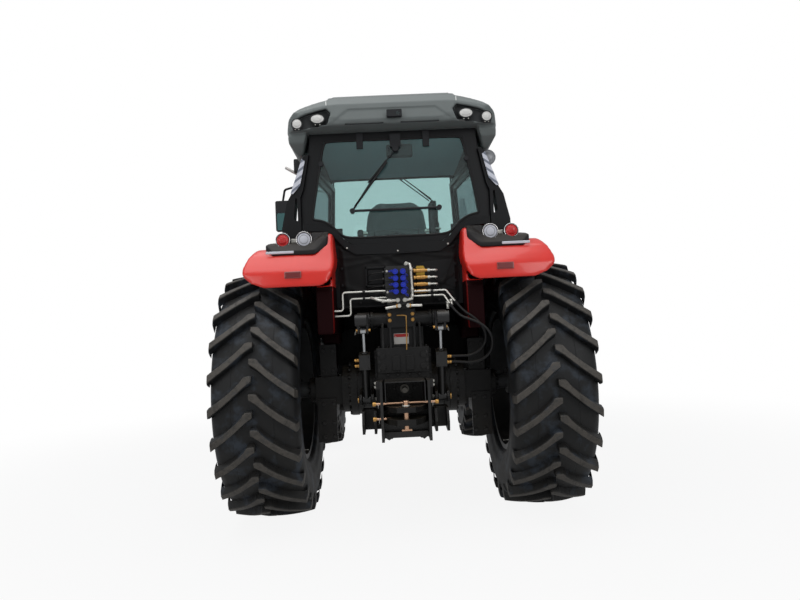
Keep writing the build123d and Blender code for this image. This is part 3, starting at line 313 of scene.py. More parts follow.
def spline_length(curve_object):
    bare = curve_object.copy()
    bare.data = curve_object.data.copy()
    bare.data.bevel_depth = 0
    line = plain_mesh(link(bare))
    run = sum((line.vertices[a].co - line.vertices[b].co).length for a, b in (e.vertices for e in line.edges))
    bpy.data.objects.remove(bare)
    return run


for level, route in HOSES.items():
    hose = round_curve("lift_hose_" + level, route, HOSE_BORE / 2, 5, 16)
    hose.data.materials.append(hose_rubber)
    hose_length = spline_length(hose)
    placed(hose, "chassis", "hose_rubber", "hose_" + level)


# ------------------------------------------------------------------ tyres
# Radial drive tyres: a smooth black carcass with curved lugs in two rows, half a pitch apart, whose
# club ends meet in the middle. The lug tops are worn to a dusty grey, and a blue-grey painted sheen
# lies in patches on the black between them.
def tyre_rubber(centre_x, half_width):
    """Rubber for one pair of tyres; the mould's seams run round it between the lugs."""
    made = finish("tyre_rubber", (24, 25, 26), 0.50, top=0.1, low=0.16, grain=160, depth=0.5, mottle=0.16,
                  dust=(96, 90, 82), specular=0.25)
    tree = made.node_tree
    colour = tree.nodes["Principled BSDF"].inputs["Base Color"]
    scuffs = ramp_between(tree, noise(tree, 26.0, 6.0, 0.7), 0.28, 0.75)
    lug_top = node_in(tree, "ShaderNodeAttribute", attribute_name="lug top").outputs["Fac"]
    worn = maths(tree, "MULTIPLY", lug_top, maths(tree, "ADD", scuffs, 0.45), clamp=True)
    # blue-grey patches: a painted sheen of light off the black rubber
    painted_sheen = ramp_between(tree, noise(tree, 8.0, 3.0, 0.6), 0.48, 0.70)
    sheened = mixed(tree, maths(tree, "MULTIPLY", painted_sheen, 0.7), colour.links[0].from_socket, linear(62, 69, 78))
    tree.links.new(mixed(tree, worn, sheened, linear(80, 76, 71)), colour)
    from_middle = maths(tree, "SUBTRACT", maths(tree, "ABSOLUTE", own_place(tree, "X")), centre_x)
    from_seam = maths(tree, "SUBTRACT", maths(tree, "ABSOLUTE", from_middle), 0.47 * half_width)
    seam = maths(tree, "SUBTRACT", 1.0, ramp_between(tree, maths(tree, "ABSOLUTE", from_seam), 0.0005, 0.003))
    height = [n for n in tree.nodes if n.type == "BUMP"][0].inputs["Height"]
    tree.links.new(maths(tree, "SUBTRACT", height.links[0].from_socket, maths(tree, "MULTIPLY", seam, 3.0)),
                   height)
    return made


def outward(thing, broken=0.0, wall=0.0):
    """Turns a mesh's faces outward, then breaks its edges or gives it a wall, in metres."""
    form = bmesh.new()
    form.from_mesh(thing.data)
    bmesh.ops.recalc_face_normals(form, faces=form.faces)
    if broken:
        bmesh.ops.bevel(form, geom=form.edges[:], offset=broken, segments=2, affect="EDGES", profile=0.5)
    if wall:
        bmesh.ops.solidify(form, geom=form.faces[:], thickness=wall)
    form.to_mesh(thing.data)
    form.free()
    return thing


def spun(name, outline, segments, material):
    """A closed ring turned about the x axis from an outline of (x, r) points."""
    points, faces, count = [], [], len(outline)
    for step in range(segments):
        angle = 2 * math.pi * step / segments
        points += [(x, r * math.sin(angle), r * math.cos(angle)) for x, r in outline]
        for k in range(count):
            here, there = step * count, (step + 1) % segments * count
            faces.append((here + k, here + (k + 1) % count, there + (k + 1) % count, there + k))
    ring = outward(mesh_object(name, points, faces, material))
    ring.data.shade_smooth()
    return ring


def carcass_outline(radius, half, bead, rim_half, lug_height):
    """Right half of the carcass from the tread's middle to the bead, then its inside, mirrored."""
    depth = radius - bead
    base = radius - lug_height
    outer = [(0, base), (0.45 * half, base - 0.006), (0.80 * half, base - 0.020), (0.90 * half, base - 0.034),
             (0.965 * half, base - 0.062), (0.99 * half, base - 0.10), (half, bead + 0.60 * depth),
             (0.995 * half, bead + 0.48 * depth), (0.975 * half, bead + 0.38 * depth),
             (0.985 * half, bead + 0.355 * depth), (0.945 * half, bead + 0.26 * depth),
             (0.895 * half, bead + 0.17 * depth), (0.905 * half, bead + 0.145 * depth),
             (0.855 * half, bead + 0.10 * depth), (rim_half - 0.004, bead + 0.055 * depth),
             (rim_half - 0.013, bead)]
    inner = [(rim_half - 0.04, bead), (0.82 * half, bead + 0.30 * depth), (0.86 * half, bead + 0.6 * depth),
             (0.6 * half, base - 0.05)]
    right = outer + inner
    return right + [(-x, r) for x, r in reversed(right[1:])]


LUG_EDGES = (   # across (of the half width), then the upper and lower edge along the tread, of a pitch
    (-0.030, 0.050, -0.105), (0.045, 0.055, -0.165), (0.125, 0.040, -0.235), (0.165, 0.000, -0.275),
    (0.215, -0.090, -0.330), (0.330, -0.235, -0.455), (0.470, -0.385, -0.605), (0.620, -0.535, -0.755),
    (0.780, -0.680, -0.900), (0.900, -0.780, -1.010), (0.975, -0.850, -1.085),
)


def lug_mesh(name, side, radius, half, pitch, height):
    """One bevelled lug at the top of the tyre; side is 1 for the right row and -1 for the left."""
    points, faces, top = [], [], []

    def section(across, upper, lower, rise, foot, flare):
        crest = radius - 0.028 * across * across - rise
        for along, r, is_top in ((lower - flare, foot, 0), (lower - 0.003, crest - 0.007, 0),
                                 (lower + 0.004, crest, 1), (upper - 0.004, crest, 1),
                                 (upper + 0.003, crest - 0.007, 0), (upper + flare, foot, 0)):
            points.append((side * across * half, r * math.sin(along / radius), r * math.cos(along / radius)))
            top.append(is_top)

    for across, upper, lower in LUG_EDGES:
        foot = radius - height - 0.010 - 0.030 * across ** 4
        section(across, upper * pitch, lower * pitch, 0.0, foot, 0.012)
    toe_upper, toe_lower = LUG_EDGES[-1][1] * pitch, LUG_EDGES[-1][2] * pitch
    section(1.005, toe_upper - 0.004, toe_lower - 0.004, 0.030, radius - height - 0.05, 0.012)
    section(1.012, toe_upper - 0.010, toe_lower - 0.006, 0.085, radius - height - 0.09, 0.010)
    rows = len(points) // 6
    for row in range(rows - 1):
        for k in range(5):
            a, b = row * 6 + k, (row + 1) * 6 + k
            faces.append((a, a + 1, b + 1, b))
    faces += [tuple(range(6)), tuple(reversed(range(6 * rows - 6, 6 * rows)))]
    lug = outward(mesh_object(name, points, faces))
    mask = lug.data.attributes.new("lug top", "FLOAT", "POINT")
    mask.data.foreach_set("value", [float(v) for v in top])
    return lug


def settled(thing, tree, values):
    """Runs a Geometry Nodes tree on a mesh object and leaves the plain mesh that comes out."""
    modifier = thing.modifiers.new(tree.name, "NODES")
    modifier.node_group = tree
    for item in tree.interface.items_tree:
        if item.item_type == "SOCKET" and item.in_out == "INPUT" and item.name in values:
            modifier[item.identifier] = values[item.name]
    made = plain_mesh(thing)
    thing.modifiers.remove(modifier)
    made.name = thing.name
    thing.data = made
    return thing


def realized(tree, geometry, material, result):
    """Ends a Geometry Nodes tree: real geometry in one material."""
    real = node_in(tree, "GeometryNodeRealizeInstances", {0: geometry})
    coated = node_in(tree, "GeometryNodeSetMaterial", {"Geometry": real.outputs[0], "Material": material})
    tree.links.new(coated.outputs[0], result)


treads, given, gives = node_group("lugs round a carcass", "GeometryNodeTree", {
    "Geometry": "Geometry", "Right Lug": "Object", "Left Lug": "Object", "Lugs Per Side": "Int",
    "Wheel Centre": "Vector", "Rubber": "Material"}, {"Geometry": "Geometry"})
together = node_in(treads, "GeometryNodeJoinGeometry", {0: given["Geometry"]})
pitch_angle = maths(treads, "DIVIDE", 2 * math.pi, given["Lugs Per Side"])
for lug_row, shift in (("Right Lug", 0.0), ("Left Lug", 0.5)):
    spots = node_in(treads, "GeometryNodeMeshLine", {"Offset": (0, 0, 0), "Count": given["Lugs Per Side"]})
    turn = maths(treads, "ADD", node_in(treads, "GeometryNodeInputIndex").outputs[0], shift)
    angles = node_in(treads, "ShaderNodeCombineXYZ", {"X": maths(treads, "MULTIPLY", turn, pitch_angle)})
    pattern = node_in(treads, "GeometryNodeObjectInfo", {"Object": given[lug_row]})
    copies = node_in(treads, "GeometryNodeInstanceOnPoints", {
        "Points": spots.outputs["Mesh"], "Instance": pattern.outputs["Geometry"],
        "Rotation": angles.outputs[0]})
    treads.links.new(copies.outputs[0], together.inputs[0])
moved = node_in(treads, "GeometryNodeTransform", {"Geometry": together.outputs[0],
                                                  "Translation": given["Wheel Centre"]})
realized(treads, moved.outputs[0], given["Rubber"], gives["Geometry"])

TYRES = (   # axle, radius, half width, bead radius, rim half width, lug height, lugs in a row
    ("rear", 0.900, 0.281, 0.486, 0.226, 0.050, 25),
    ("front", 0.700, 0.2135, 0.357, 0.165, 0.042, 23),
)
for axle, radius, half, bead, rim_half, lug_height, lug_count in TYRES:
    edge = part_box(axle + "_tyre_right")
    middle = (edge[0] + edge[1]) / 2
    rubber = tyre_rubber(middle.x, half)
    pitch = 2 * math.pi * radius / lug_count
    lugs = [lug_mesh(axle + "_lug", side, radius, half, pitch, lug_height) for side in (1, -1)]
    for side, side_name in ((1, "right"), (-1, "left")):
        outline = carcass_outline(radius, half, bead, rim_half, lug_height)
        tyre = spun(axle + "_tyre_tread_" + side_name, outline, 112, rubber)
        settled(tyre, treads, {"Right Lug": lugs[0], "Left Lug": lugs[1], "Lugs Per Side": lug_count,
                               "Wheel Centre": (side * middle.x, middle.y, radius), "Rubber": rubber})
        placed(tyre, axle + "_wheel_" + side_name, "tyre_rubber", axle + "_tyre_" + side_name)
    for lug in lugs:
        bpy.data.objects.remove(lug)


# ------------------------------------------------------------------ rear castings
# Iron castings painted black: final-drive housing, axle trumpets, gearbox, engine and hitch jaw.
# Their faces keep the sand's grain under the paint, and rings of hexagon bolts hold the flanges.
def wheel_middle(tyre):
    """How far back and how high the middle of a tyre lies."""
    low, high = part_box(tyre)
    return (low[1] + high[1]) / 2, high[2] / 2


REAR_AXLE_Y, REAR_AXLE_Z = wheel_middle("rear_tyre_right")
casting_black = finish("casting_black", (8, 8, 9), 0.38, top=0.14, low=0.1, grain=420, depth=1.1,
                       mottle=0.16, soft=3, specular=0.3)
zinc = finish("zinc_plate", (206, 204, 196), 0.34, metallic=0.6, top=0.08, low=0.05, mottle=0.14)
yellow_zinc = finish("yellow_zinc", (196, 150, 84), 0.33, metallic=0.8, low=0.05, mottle=0.22)
black_bolt = finish("black_bolt", (24, 24, 25), 0.40, metallic=0.3, top=0.15, low=0.1, mottle=0.12)

PLATING = {"black_paint": black_bolt, "steel": zinc, "brass": yellow_zinc}   # by the name of the slot

placing, given, gives = node_group("fasteners on places", "GeometryNodeTree", {
    "Geometry": "Geometry", "Fastener": "Object", "Size": "Float", "Plating": "Material"},
    {"Geometry": "Geometry"})
facing = node_in(placing, "GeometryNodeInputNamedAttribute", {"Name": "facing"}, data_type="FLOAT_VECTOR")
stand = node_in(placing, "FunctionNodeAlignRotationToVector", {"Vector": facing.outputs["Attribute"]},
                axis="Z")
pattern = node_in(placing, "GeometryNodeObjectInfo", {"Object": given["Fastener"]})
copies = node_in(placing, "GeometryNodeInstanceOnPoints", {
    "Points": given["Geometry"], "Instance": pattern.outputs["Geometry"], "Rotation": stand.outputs[0],
    "Scale": given["Size"]})
realized(placing, copies.outputs[0], given["Plating"], gives["Geometry"])


def turned(name, outline, sides):
    """A closed solid turned about z from (r, z) points; each pair of sides may be a hexagon."""
    points, faces, rows = [], [], len(outline)
    for step in range(sides):
        angle = 2 * math.pi * step / sides
        points += [(r * math.cos(angle), r * math.sin(angle), z) for r, z in outline]
        for k in range(rows - 1):
            here, there = step * rows, (step + 1) % sides * rows
            faces.append((here + k, there + k, there + k + 1, here + k + 1))
    faces.append(tuple(step * rows + rows - 1 for step in range(sides)))
    faces.append(tuple(step * rows for step in reversed(range(sides))))
    return mesh_object(name, points, faces)


def from_form(name, form, *materials):
    """A mesh object made from a bmesh, which is used up."""
    mesh = bpy.data.meshes.new(name)
    form.to_mesh(mesh)
    form.free()
    for material in materials:
        mesh.materials.append(material)
    return link(bpy.data.objects.new(name, mesh))


def joined(name, parts):
    """One mesh from several objects, which are used up."""
    whole = bmesh.new()
    for part in parts:
        whole.from_mesh(part.data)
        bpy.data.objects.remove(part)
    return from_form(name, whole)


# a bolt 1 m across its flats, on its washer, scaled to each place
hex_bolt = joined("hex_bolt", [turned("washer", [(0.72, 0.0), (0.72, 0.10), (0.66, 0.14)], 16),
                               turned("head", [(0.575, 0.12), (0.575, 0.60), (0.48, 0.70)], 6)])
def fasteners(name, body, places, across, slot, fastener=None, plating=None):
    """Puts a fastener on each (point, direction) place; they ride on one body as one piece."""
    spots = mesh_object(name, [tuple(point) for point, towards in places], [])
    towards = spots.data.attributes.new("facing", "FLOAT_VECTOR", "POINT")
    towards.data.foreach_set("vector", [c for point, along in places for c in along])
    settled(spots, placing, {"Fastener": fastener or hex_bolt, "Size": across,
                             "Plating": plating or PLATING[slot]})
    return placed(spots, body, slot)


def ring(centre, radius, count, along, start=0.0):
    """Places on a circle about the x axis that all face along x."""
    angles = [2 * math.pi * (step + start) / count for step in range(count)]
    return [((centre[0], centre[1] + radius * math.sin(a), centre[2] + radius * math.cos(a)), (along, 0, 0))
            for a in angles]


dress(casting_black, "rear_housing", "axle_housings", "transmission_housing", "engine_block", "hitch_jaw")
BACK, UP = (0, -1, 0), (0, 0, 1)
flange_bolts, cover_bolts = [], []
for side in (-1, 1):
    flange_bolts += ring((side * 0.392, REAR_AXLE_Y, REAR_AXLE_Z), 0.191, 18, side)
    flange_bolts += ring((side * 0.700, REAR_AXLE_Y, REAR_AXLE_Z), 0.077, 8, side, 0.5)
    for x in (0.522, 0.598):
        flange_bolts += [((side * x, REAR_AXLE_Y - 0.075, z), BACK) for z in (1.045, 1.195)]
        flange_bolts += [((side * (x + 0.003), REAR_AXLE_Y - 0.120, z), BACK) for z in (0.56, 0.66, 0.80)]
    cover_bolts += [((side * 0.165, -2.030, z), BACK) for z in (1.055, 1.110, 1.165)]
    cover_bolts += [((side * 0.190, -1.925, z), BACK) for z in (0.68, 0.80, 1.02, 1.14)]
    cover_bolts += [((side * x, -1.970, 1.206), UP) for x in (0.165, 0.105)]
neck_ring = [2 * math.pi * (k + 0.5) / 6 for k in range(6)]
cover_bolts += [((0.070 * math.sin(a), -2.005, 0.925 + 0.070 * math.cos(a)), BACK) for a in neck_ring]
cover_bolts += [((x, -2.005, 1.02), BACK) for x in (-0.11, -0.04, 0.04, 0.11)]
fasteners("flange_bolts", "chassis", flange_bolts, 0.022, "black_paint")
fasteners("cover_bolts", "chassis", cover_bolts, 0.017, "black_paint")
shelf_bolts = [((x, -1.995, z), BACK) for x in (-0.080, 0.080) for z in (1.395, 1.435)]
fasteners("shelf_bolts", "chassis", shelf_bolts, 0.018, "brass")


# ------------------------------------------------------------------ front axle and cradle
# The cast cradle carries the engine and the weights; the front axle hangs under it, with a swivel
# housing at each end that turns about two kingpins, and a bright tie rod behind the beam.
dress(casting_black, "front_frame", "front_axle", "knuckle_left", "knuckle_right")
dress(zinc, "tie_rod")
weight_paint = finish("weight_paint", (22, 23, 24), 0.48, top=0.25, low=0.12, grain=300, depth=1.4,
                      mottle=0.2, soft=5)
dress(weight_paint, "front_weights")
FRONT_AXLE_Y, FRONT_AXLE_Z = wheel_middle("front_tyre_right")
beam_bolts = [place for side in (1, -1)
              for place in ring((side * 0.150, FRONT_AXLE_Y, 0.69), 0.130, 10, side)]
fasteners("beam_bolts", "chassis", beam_bolts, 0.017, "black_paint")
cradle_bolts = [((side * 0.285, y, z), (side, 0, 0)) for side in (-1, 1) for y in (0.30, 0.45, 0.95, 1.10)
                for z in (0.89, 0.97)]
fasteners("cradle_bolts", "chassis", cradle_bolts, 0.024, "black_paint")
SIDES = ((-1, "left"), (1, "right"))
quarters = [math.pi / 4 + math.pi / 2 * k for k in range(4)]
for side, side_name in SIDES:
    cap_bolts = [((side * 0.700 + 0.052 * math.sin(a), FRONT_AXLE_Y + 0.052 * math.cos(a), z), (0, 0, way))
                 for a in quarters for z, way in ((0.854, 1), (0.546, -1))]
    fasteners("kingpin_cap_bolts_" + side_name, "knuckle_" + side_name, cap_bolts, 0.015, "black_paint")


# ------------------------------------------------------------------ wheels
# Pressed steel rims in dark grey paint, welded to a dished disc that bolts to the axle. The rear disc
# has hand holes; each rim has its valve beside the disc.
rim_grey = finish("rim_paint", (46, 48, 50), 0.36, top=0.08, low=0.18, grain=300, depth=0.12, mottle=0.1,
                  soft=1.5)
dress(rim_grey, "rear_rim_left", "rear_rim_right", "front_rim_left", "front_rim_right")
wheel_nut = joined("wheel_nut", [turned("nut_cone", [(0.86, 0.0), (0.80, 0.16), (0.60, 0.24)], 16),
                                 turned("nut", [(0.575, 0.20), (0.575, 0.86), (0.50, 0.94)], 6),
                                 turned("stud", [(0.32, 0.80), (0.32, 1.20), (0.26, 1.26)], 10)])
valve_stem = joined("valve_stem", [turned("valve_boot", [(0.50, 0.0), (0.42, 0.5), (0.22, 1.6)], 12),
                                   turned("valve_cap", [(0.28, 1.6), (0.28, 3.0), (0.20, 3.2)], 12)])
for side, side_name in SIDES:
    rear, front = "rear_wheel_" + side_name, "front_wheel_" + side_name
    rear_nuts = ring((side * (0.972 - 0.044), REAR_AXLE_Y, REAR_AXLE_Z), 0.120, 10, side)
    fasteners("rear_wheel_nuts_" + side_name, rear, rear_nuts, 0.024, "steel", wheel_nut)
    front_nuts = ring((side * (0.930 + 0.030), FRONT_AXLE_Y, FRONT_AXLE_Z), 0.158, 10, side)
    fasteners("front_wheel_nuts_" + side_name, front, front_nuts, 0.021, "steel", wheel_nut)
    hub_screws = ring((side * (0.930 + 0.096), FRONT_AXLE_Y, FRONT_AXLE_Z), 0.074, 8, side, 0.5)
    fasteners("hub_cover_bolts_" + side_name, front, hub_screws, 0.013, "steel")
    inner_valve = [((side * 0.790, REAR_AXLE_Y, REAR_AXLE_Z - 0.452), (-side, 0, 0))]
    fasteners("rear_valve_" + side_name, rear, inner_valve, 0.014, "steel", valve_stem)
for pattern in (wheel_nut, valve_stem):
    bpy.data.objects.remove(pattern)


# ------------------------------------------------------------------ three-point lift
# Two cast arms are keyed to the rock shaft on top of the housing and are raised by a cylinder each.
# The rods are chromed; the pins are yellow plated and kept by linch pins on short lanyards.
lift_black = finish("lift_black", (16, 16, 18), 0.36, top=0.12, low=0.08, grain=380, depth=0.8, mottle=0.14,
                    soft=2.5)
cylinder_black = finish("cylinder_black", (13, 14, 15), 0.30, top=0.1, low=0.08, grain=500, depth=0.15,
                        soft=2)
chrome = finish("rod_chrome", (176, 178, 180), 0.22, metallic=1, top=0.03, mottle=0.03)
dress(lift_black, "lift_arms")
dress(cylinder_black, "lift_barrels")
dress(chrome, "lift_rods")


def on_path(name, path, radius, material, sides=12, closed=False):
    """A round bar or wire that follows straight runs and is rounded where they meet."""
    bar = round_curve(name, path, radius, max(1, sides // 4 - 1), 8, closed)
    mesh = plain_mesh(bar)
    bpy.data.objects.remove(bar)
    mesh.materials.clear()
    mesh.materials.append(material)
    mesh.shade_smooth()
    return link(bpy.data.objects.new(name, mesh))


def merged(name, parts, material=None):
    """One piece from several finished meshes, which keep their materials unless one is given."""
    whole, materials = bmesh.new(), []
    for part in parts:
        first = len(whole.faces)
        whole.from_mesh(part.data)
        whole.faces.ensure_lookup_table()
        slots = [material] if material else list(part.data.materials)
        materials += [slot for slot in slots if slot not in materials]
        for face in whole.faces[first:]:
            face.material_index = materials.index(slots[min(face.material_index, len(slots) - 1)])
        bpy.data.objects.remove(part)
    return from_form(name, whole, *materials)


def round_bar(name, start, end, radius, material, sides=24, chamfer=0.001):
    """A turned bar between two points, with broken edges."""
    start, end = Vector(start), Vector(end)
    length = (end - start).length
    bar = turned(name, [(radius - chamfer, 0.0), (radius, chamfer), (radius, length - chamfer),
                        (radius - chamfer, length)], sides)
    turn = Vector((0, 0, 1)).rotation_difference(end - start).to_matrix().to_4x4()
    bar.data.transform(Matrix.Translation(start) @ turn)
    bar.data.materials.append(material)
    for face in bar.data.polygons:
        face.use_smooth = len(face.vertices) == 4
    return bar


def bars(*rows):
    """Round bars, one for each row of round_bar's values."""
    return [round_bar(*row) for row in rows]


def cross_bars(rows, y, z, side=1):
    """Bars along x through (y, z), from rows of name, first x, last x, radius, material and sides."""
    return [round_bar(name, (side * first, y, z), (side * last, y, z), *look)
            for name, first, last, *look in rows]


ROCK_Y, ROCK_Z = -1.925, 1.400
BARREL_Y, BARREL_Z = -1.925, 0.850
ROD_Y, ROD_Z = -2.060, 1.335
LIFT_X = 0.265
PIN_SPAN = 0.50344   # from the lower pin to the upper one
up_y, up_z = (ROD_Y - BARREL_Y) / PIN_SPAN, (ROD_Z - BARREL_Z) / PIN_SPAN


def lift_point(along, x=LIFT_X, out=0.0):
    """A point on the cylinder's line, along metres above its lower pin and out metres to the rear of it."""
    return x, BARREL_Y + up_y * along - up_z * out, BARREL_Z + up_z * along + up_y * out


LINCH_WIRE = ((0.046, -0.018, 0.004), (0.046, 0.024, 0.004), (0.056, 0.026, -0.030), (0.058, -0.020, -0.028),
              (0.050, -0.022, -0.002))   # from the upper pin's middle
arm_trim, barrel_trim, lower_pins, head_screws = [], [], [], []
for side in (-1, 1):
    arm_trim += cross_bars([("rock_collar", 0.309, 0.316, 0.050, lift_black),
                            ("rock_cap", 0.316, 0.320, 0.030, zinc)], ROCK_Y, ROCK_Z, side)
    arm_trim += cross_bars([("rod_pin", LIFT_X - 0.050, LIFT_X + 0.050, 0.0125, yellow_zinc)],
                           ROD_Y, ROD_Z, side)
    arm_trim.append(on_path("rod_pin_clip", [(side * (LIFT_X + x), ROD_Y + y, ROD_Z + z)
                                             for x, y, z in LINCH_WIRE], 0.0018, zinc, 8))
    for name, start, end, radius, material in (("gland_nut", 0.336, 0.348, 0.026, cylinder_black),
                                               ("rod_wiper", 0.348, 0.352, 0.019, hose_rubber),
                                               ("barrel_band", 0.222, 0.231, 0.030, cylinder_black)):
        barrel_trim.append(round_bar(name, lift_point(start, side * LIFT_X), lift_point(end, side * LIFT_X),
                                     radius, material))
    for along in (0.250, 0.290):
        barrel_trim += cross_bars([("port_nut", LIFT_X + 0.038, LIFT_X + 0.052, 0.0135, yellow_zinc, 6),
                                   ("port_sleeve", LIFT_X + 0.052, LIFT_X + 0.071, 0.0115, yellow_zinc, 20)],
                                  *lift_point(along)[1:], side)
    for dx, along in ((-0.026, 0.243), (0.026, 0.243), (-0.026, 0.323), (0.026, 0.323)):
        head_screws.append((lift_point(along, side * LIFT_X + dx, 0.038), (0, -up_z, up_y)))
    lower_pins += cross_bars([("lower_pin", 0.196, 0.330, 0.0138, zinc),
                              ("lower_pin_head", 0.319, 0.328, 0.022, yellow_zinc)], BARREL_Y, BARREL_Z, side)
placed(merged("lift_arm_trim", arm_trim), "lift_arms", "brass")
placed(merged("lift_barrel_trim", barrel_trim), "lift_barrels", "brass")
fasteners("head_screws", "lift_barrels", head_screws, 0.008, "black_paint")
placed(merged("lift_lower_pins", lower_pins), "chassis", "brass")


# ------------------------------------------------------------------ hitch and power take-off
# Two ladder plates with rows of holes hold a sliding jaw. A long yellow plated pin locks it, and a
# second pin drops through the jaw. The splined shaft turns under its bent sheet guard.
sheet_black = finish("sheet_black", (14, 14, 16), 0.38, top=0.12, low=0.1, grain=300, depth=0.2,
                     mottle=0.12, soft=1.2)
dress(sheet_black, "hitch_frame", "pto_guard")
copper_zinc = finish("copper_zinc", (222, 178, 146), 0.33, metallic=0.8, low=0.05, mottle=0.2)
dress(copper_zinc, "hitch_pins")
spline_steel = finish("spline_steel", (84, 82, 78), 0.34, metallic=1, low=0.03, mottle=0.12)
dress(spline_steel, "pto_shaft")
PTO_Z, SPLINE_R = 0.925, 0.0165
splines = []
for angle in (math.pi * tooth / 3 for tooth in range(6)):
    x, z = SPLINE_R * math.sin(angle), PTO_Z + SPLINE_R * math.cos(angle)
    splines.append(round_bar("spline_key", (x, -2.163, z), (x, -2.085, z), 0.0035, spline_steel, 8))
placed(merged("pto_splines", splines), "pto_stub", "steel")
PIN_Y, JAW_PIN_Y = -2.215, -2.310
hitch_trim = bars(*[("pin_knob", (x - 0.012, PIN_Y, z), (x + 0.012, PIN_Y, z), 0.0145, yellow_zinc)
                    for x, z in ((-0.205, 0.848), (0.205, 0.848), (-0.205, 0.750))])
eighths = [math.pi / 4 * k for k in range(8)]
for x, z in ((-0.180, 0.848), (0.178, 0.848), (-0.176, 0.750)):
    hitch_trim.append(on_path("pin_ring", [(x, PIN_Y + 0.019 * math.sin(a), z - 0.012 + 0.019 * math.cos(a))
                                           for a in eighths], 0.0016, zinc, 8, True))
hitch_trim += bars(("hitch_pin_collar", (0, JAW_PIN_Y, 0.835), (0, JAW_PIN_Y, 0.845), 0.026, zinc),
                   ("hitch_pin_knob", (0, JAW_PIN_Y, 0.858), (0, JAW_PIN_Y, 0.872), 0.019, copper_zinc))
placed(merged("hitch_trim", hitch_trim), "chassis", "brass")
frame_bolts = [((side * 0.195, -2.060, z), (side, 0, 0)) for side in (-1, 1) for z in (0.945, 0.972)]
fasteners("hitch_frame_bolts", "chassis", frame_bolts, 0.016, "steel")


# ------------------------------------------------------------------ remote valves
# A stack of four valve slices carries eight quick couplers behind the cab, each closed by a blue
# moulded cap on a strap. Yellow plated couplings and bright steel pipes leave on the right.
valve_black = finish("valve_black", (17, 17, 18), 0.42, top=0.1, grain=600, depth=0.35, mottle=0.14,
                     soft=1.5)
pipe_plate = finish("pipe_plate", (224, 222, 214), 0.28, metallic=0.45, top=0.03, mottle=0.1)
cap_blue = finish("cap_blue", (20, 46, 178), 0.38, grain=500, depth=0.1)
dress(valve_black, "valve_block")
dress(yellow_zinc, "valve_fittings")
dress(pipe_plate, "hydraulic_pipes")


def cap_mesh():
    """A dust cap that faces +z: ribbed skirt, recessed dome, and the strap that keeps it on its coupler."""
    ribs = 20
    skirt = turned("cap_skirt", [(19.5, 0), (19.5, 26), (18.0, 29), (13.5, 29), (12.5, 25), (5.0, 26.5)],
                   2 * ribs)
    for k, vertex in enumerate(skirt.data.vertices):
        if k // 6 % 2 and k % 6 < 2:
            vertex.co.x *= 0.94
            vertex.co.y *= 0.94
    strap = on_path("cap_strap", [(-16, 4, 5), (-30, 8, 8), (-42, 14, 2), (-40, 22, -14), (-18, 16, -26)],
                    2.2, cap_blue, 8)
    tab = on_path("cap_tab", [(-17, 6, 12), (-26, 12, 16), (-25, 20, 14), (-14, 14, 12)], 2.6, cap_blue, 8)
    whole = joined("dust_cap", [skirt, strap, tab])
    whole.data.transform(Matrix.Scale(0.001, 4))
    return whole


caps = []
for x, way in ((-0.028, 0.25), (0.024, math.pi - 0.4)):   # the straps hang outward on each side
    for z in (1.586 + 0.045 * row for row in range(4)):
        cap = cap_mesh()
        turn = Matrix.Rotation(math.pi / 2, 4, "X") @ Matrix.Rotation(way, 4, "Z")
        cap.data.transform(Matrix.Translation((x, -2.117, z)) @ turn)
        caps.append(cap)
placed(merged("dust_caps", caps, cap_blue), "chassis", "blue_cap", "coupler_caps")

CABLE = ((-0.118, -2.000, 0.022), (-0.150, -2.000, 0.022), (-0.190, -1.985, 0.016), (-0.215, -1.955, 0.012),
         (-0.225, -1.915, 0.010))   # from each slice to its lever cable's way into the cab
valve_trim = []
for z in (1.566 + 0.048 * row for row in range(4)):
    valve_trim += cross_bars([("fitting_nut", 0.096, 0.112, 0.0155, yellow_zinc, 6),
                              ("coupling_ring", 0.146, 0.154, 0.0160, yellow_zinc, 24),
                              ("pipe_nut", 0.196, 0.214, 0.0125, zinc, 6)], -2.025, z + 0.022)
    valve_trim += cross_bars([("spool_cap", -0.118, -0.100, 0.0110, valve_black, 20)], -2.000, z + 0.022)
    valve_trim.append(on_path("spool_cable", [(x, y, z + up) for x, y, up in CABLE], 0.0035, hose_rubber, 8))
placed(merged("valve_trim", valve_trim), "chassis", "brass")
tie_bolts = [((x, -2.066, z), BACK) for x in (-0.085, 0.080) for z in (1.588, 1.732)]
fasteners("valve_bolts", "chassis", tie_bolts, 0.011, "steel")

RISER = [(0.083, -2.052, 1.540), (0.083, -2.075, 1.545), (0.083, -2.078, 1.600), (0.080, -2.078, 1.720),
         (0.078, -2.078, 1.762), (0.074, -2.070, 1.778), (0.064, -2.052, 1.780), (0.050, -2.030, 1.780)]
LOW_LEFT = [(-0.030, -2.078, 1.530), (-0.060, -2.080, 1.528), (-0.110, -2.080, 1.528),
            (-0.150, -2.075, 1.536), (-0.175, -2.060, 1.548), (-0.200, -2.030, 1.556)]
LOW_RIGHT = [(0.042, -2.078, 1.530), (0.066, -2.080, 1.532), (0.083, -2.080, 1.540)]
pipework = [on_path("riser_pipe", RISER, 0.0085, pipe_plate, 16)]
pipework += bars(*[("riser_nut", (0.082, -2.078, z - 0.010), (0.082, -2.078, z + 0.010), 0.0135, zinc, 6)
                   for z in (1.556, 1.600, 1.738)])
for x, y, z in ((0.052, -2.036, 1.780), (-0.018, -2.072, 1.530), (0.030, -2.072, 1.530)):
    pipework += bars(("banjo", (x, y + 0.012, z), (x, y - 0.014, z), 0.0150, zinc),
                     ("banjo_bolt", (x, y - 0.014, z), (x, y - 0.024, z), 0.0115, zinc, 6))
pipework.append(on_path("return_elbow", LOW_LEFT, 0.0095, pipe_plate, 16))
pipework += bars(*[("return_nut", (start, -2.080, 1.5285), (end, -2.080, 1.529), 0.0140, zinc, 6)
                   for start, end in ((-0.060, -0.092), (-0.110, -0.130))])
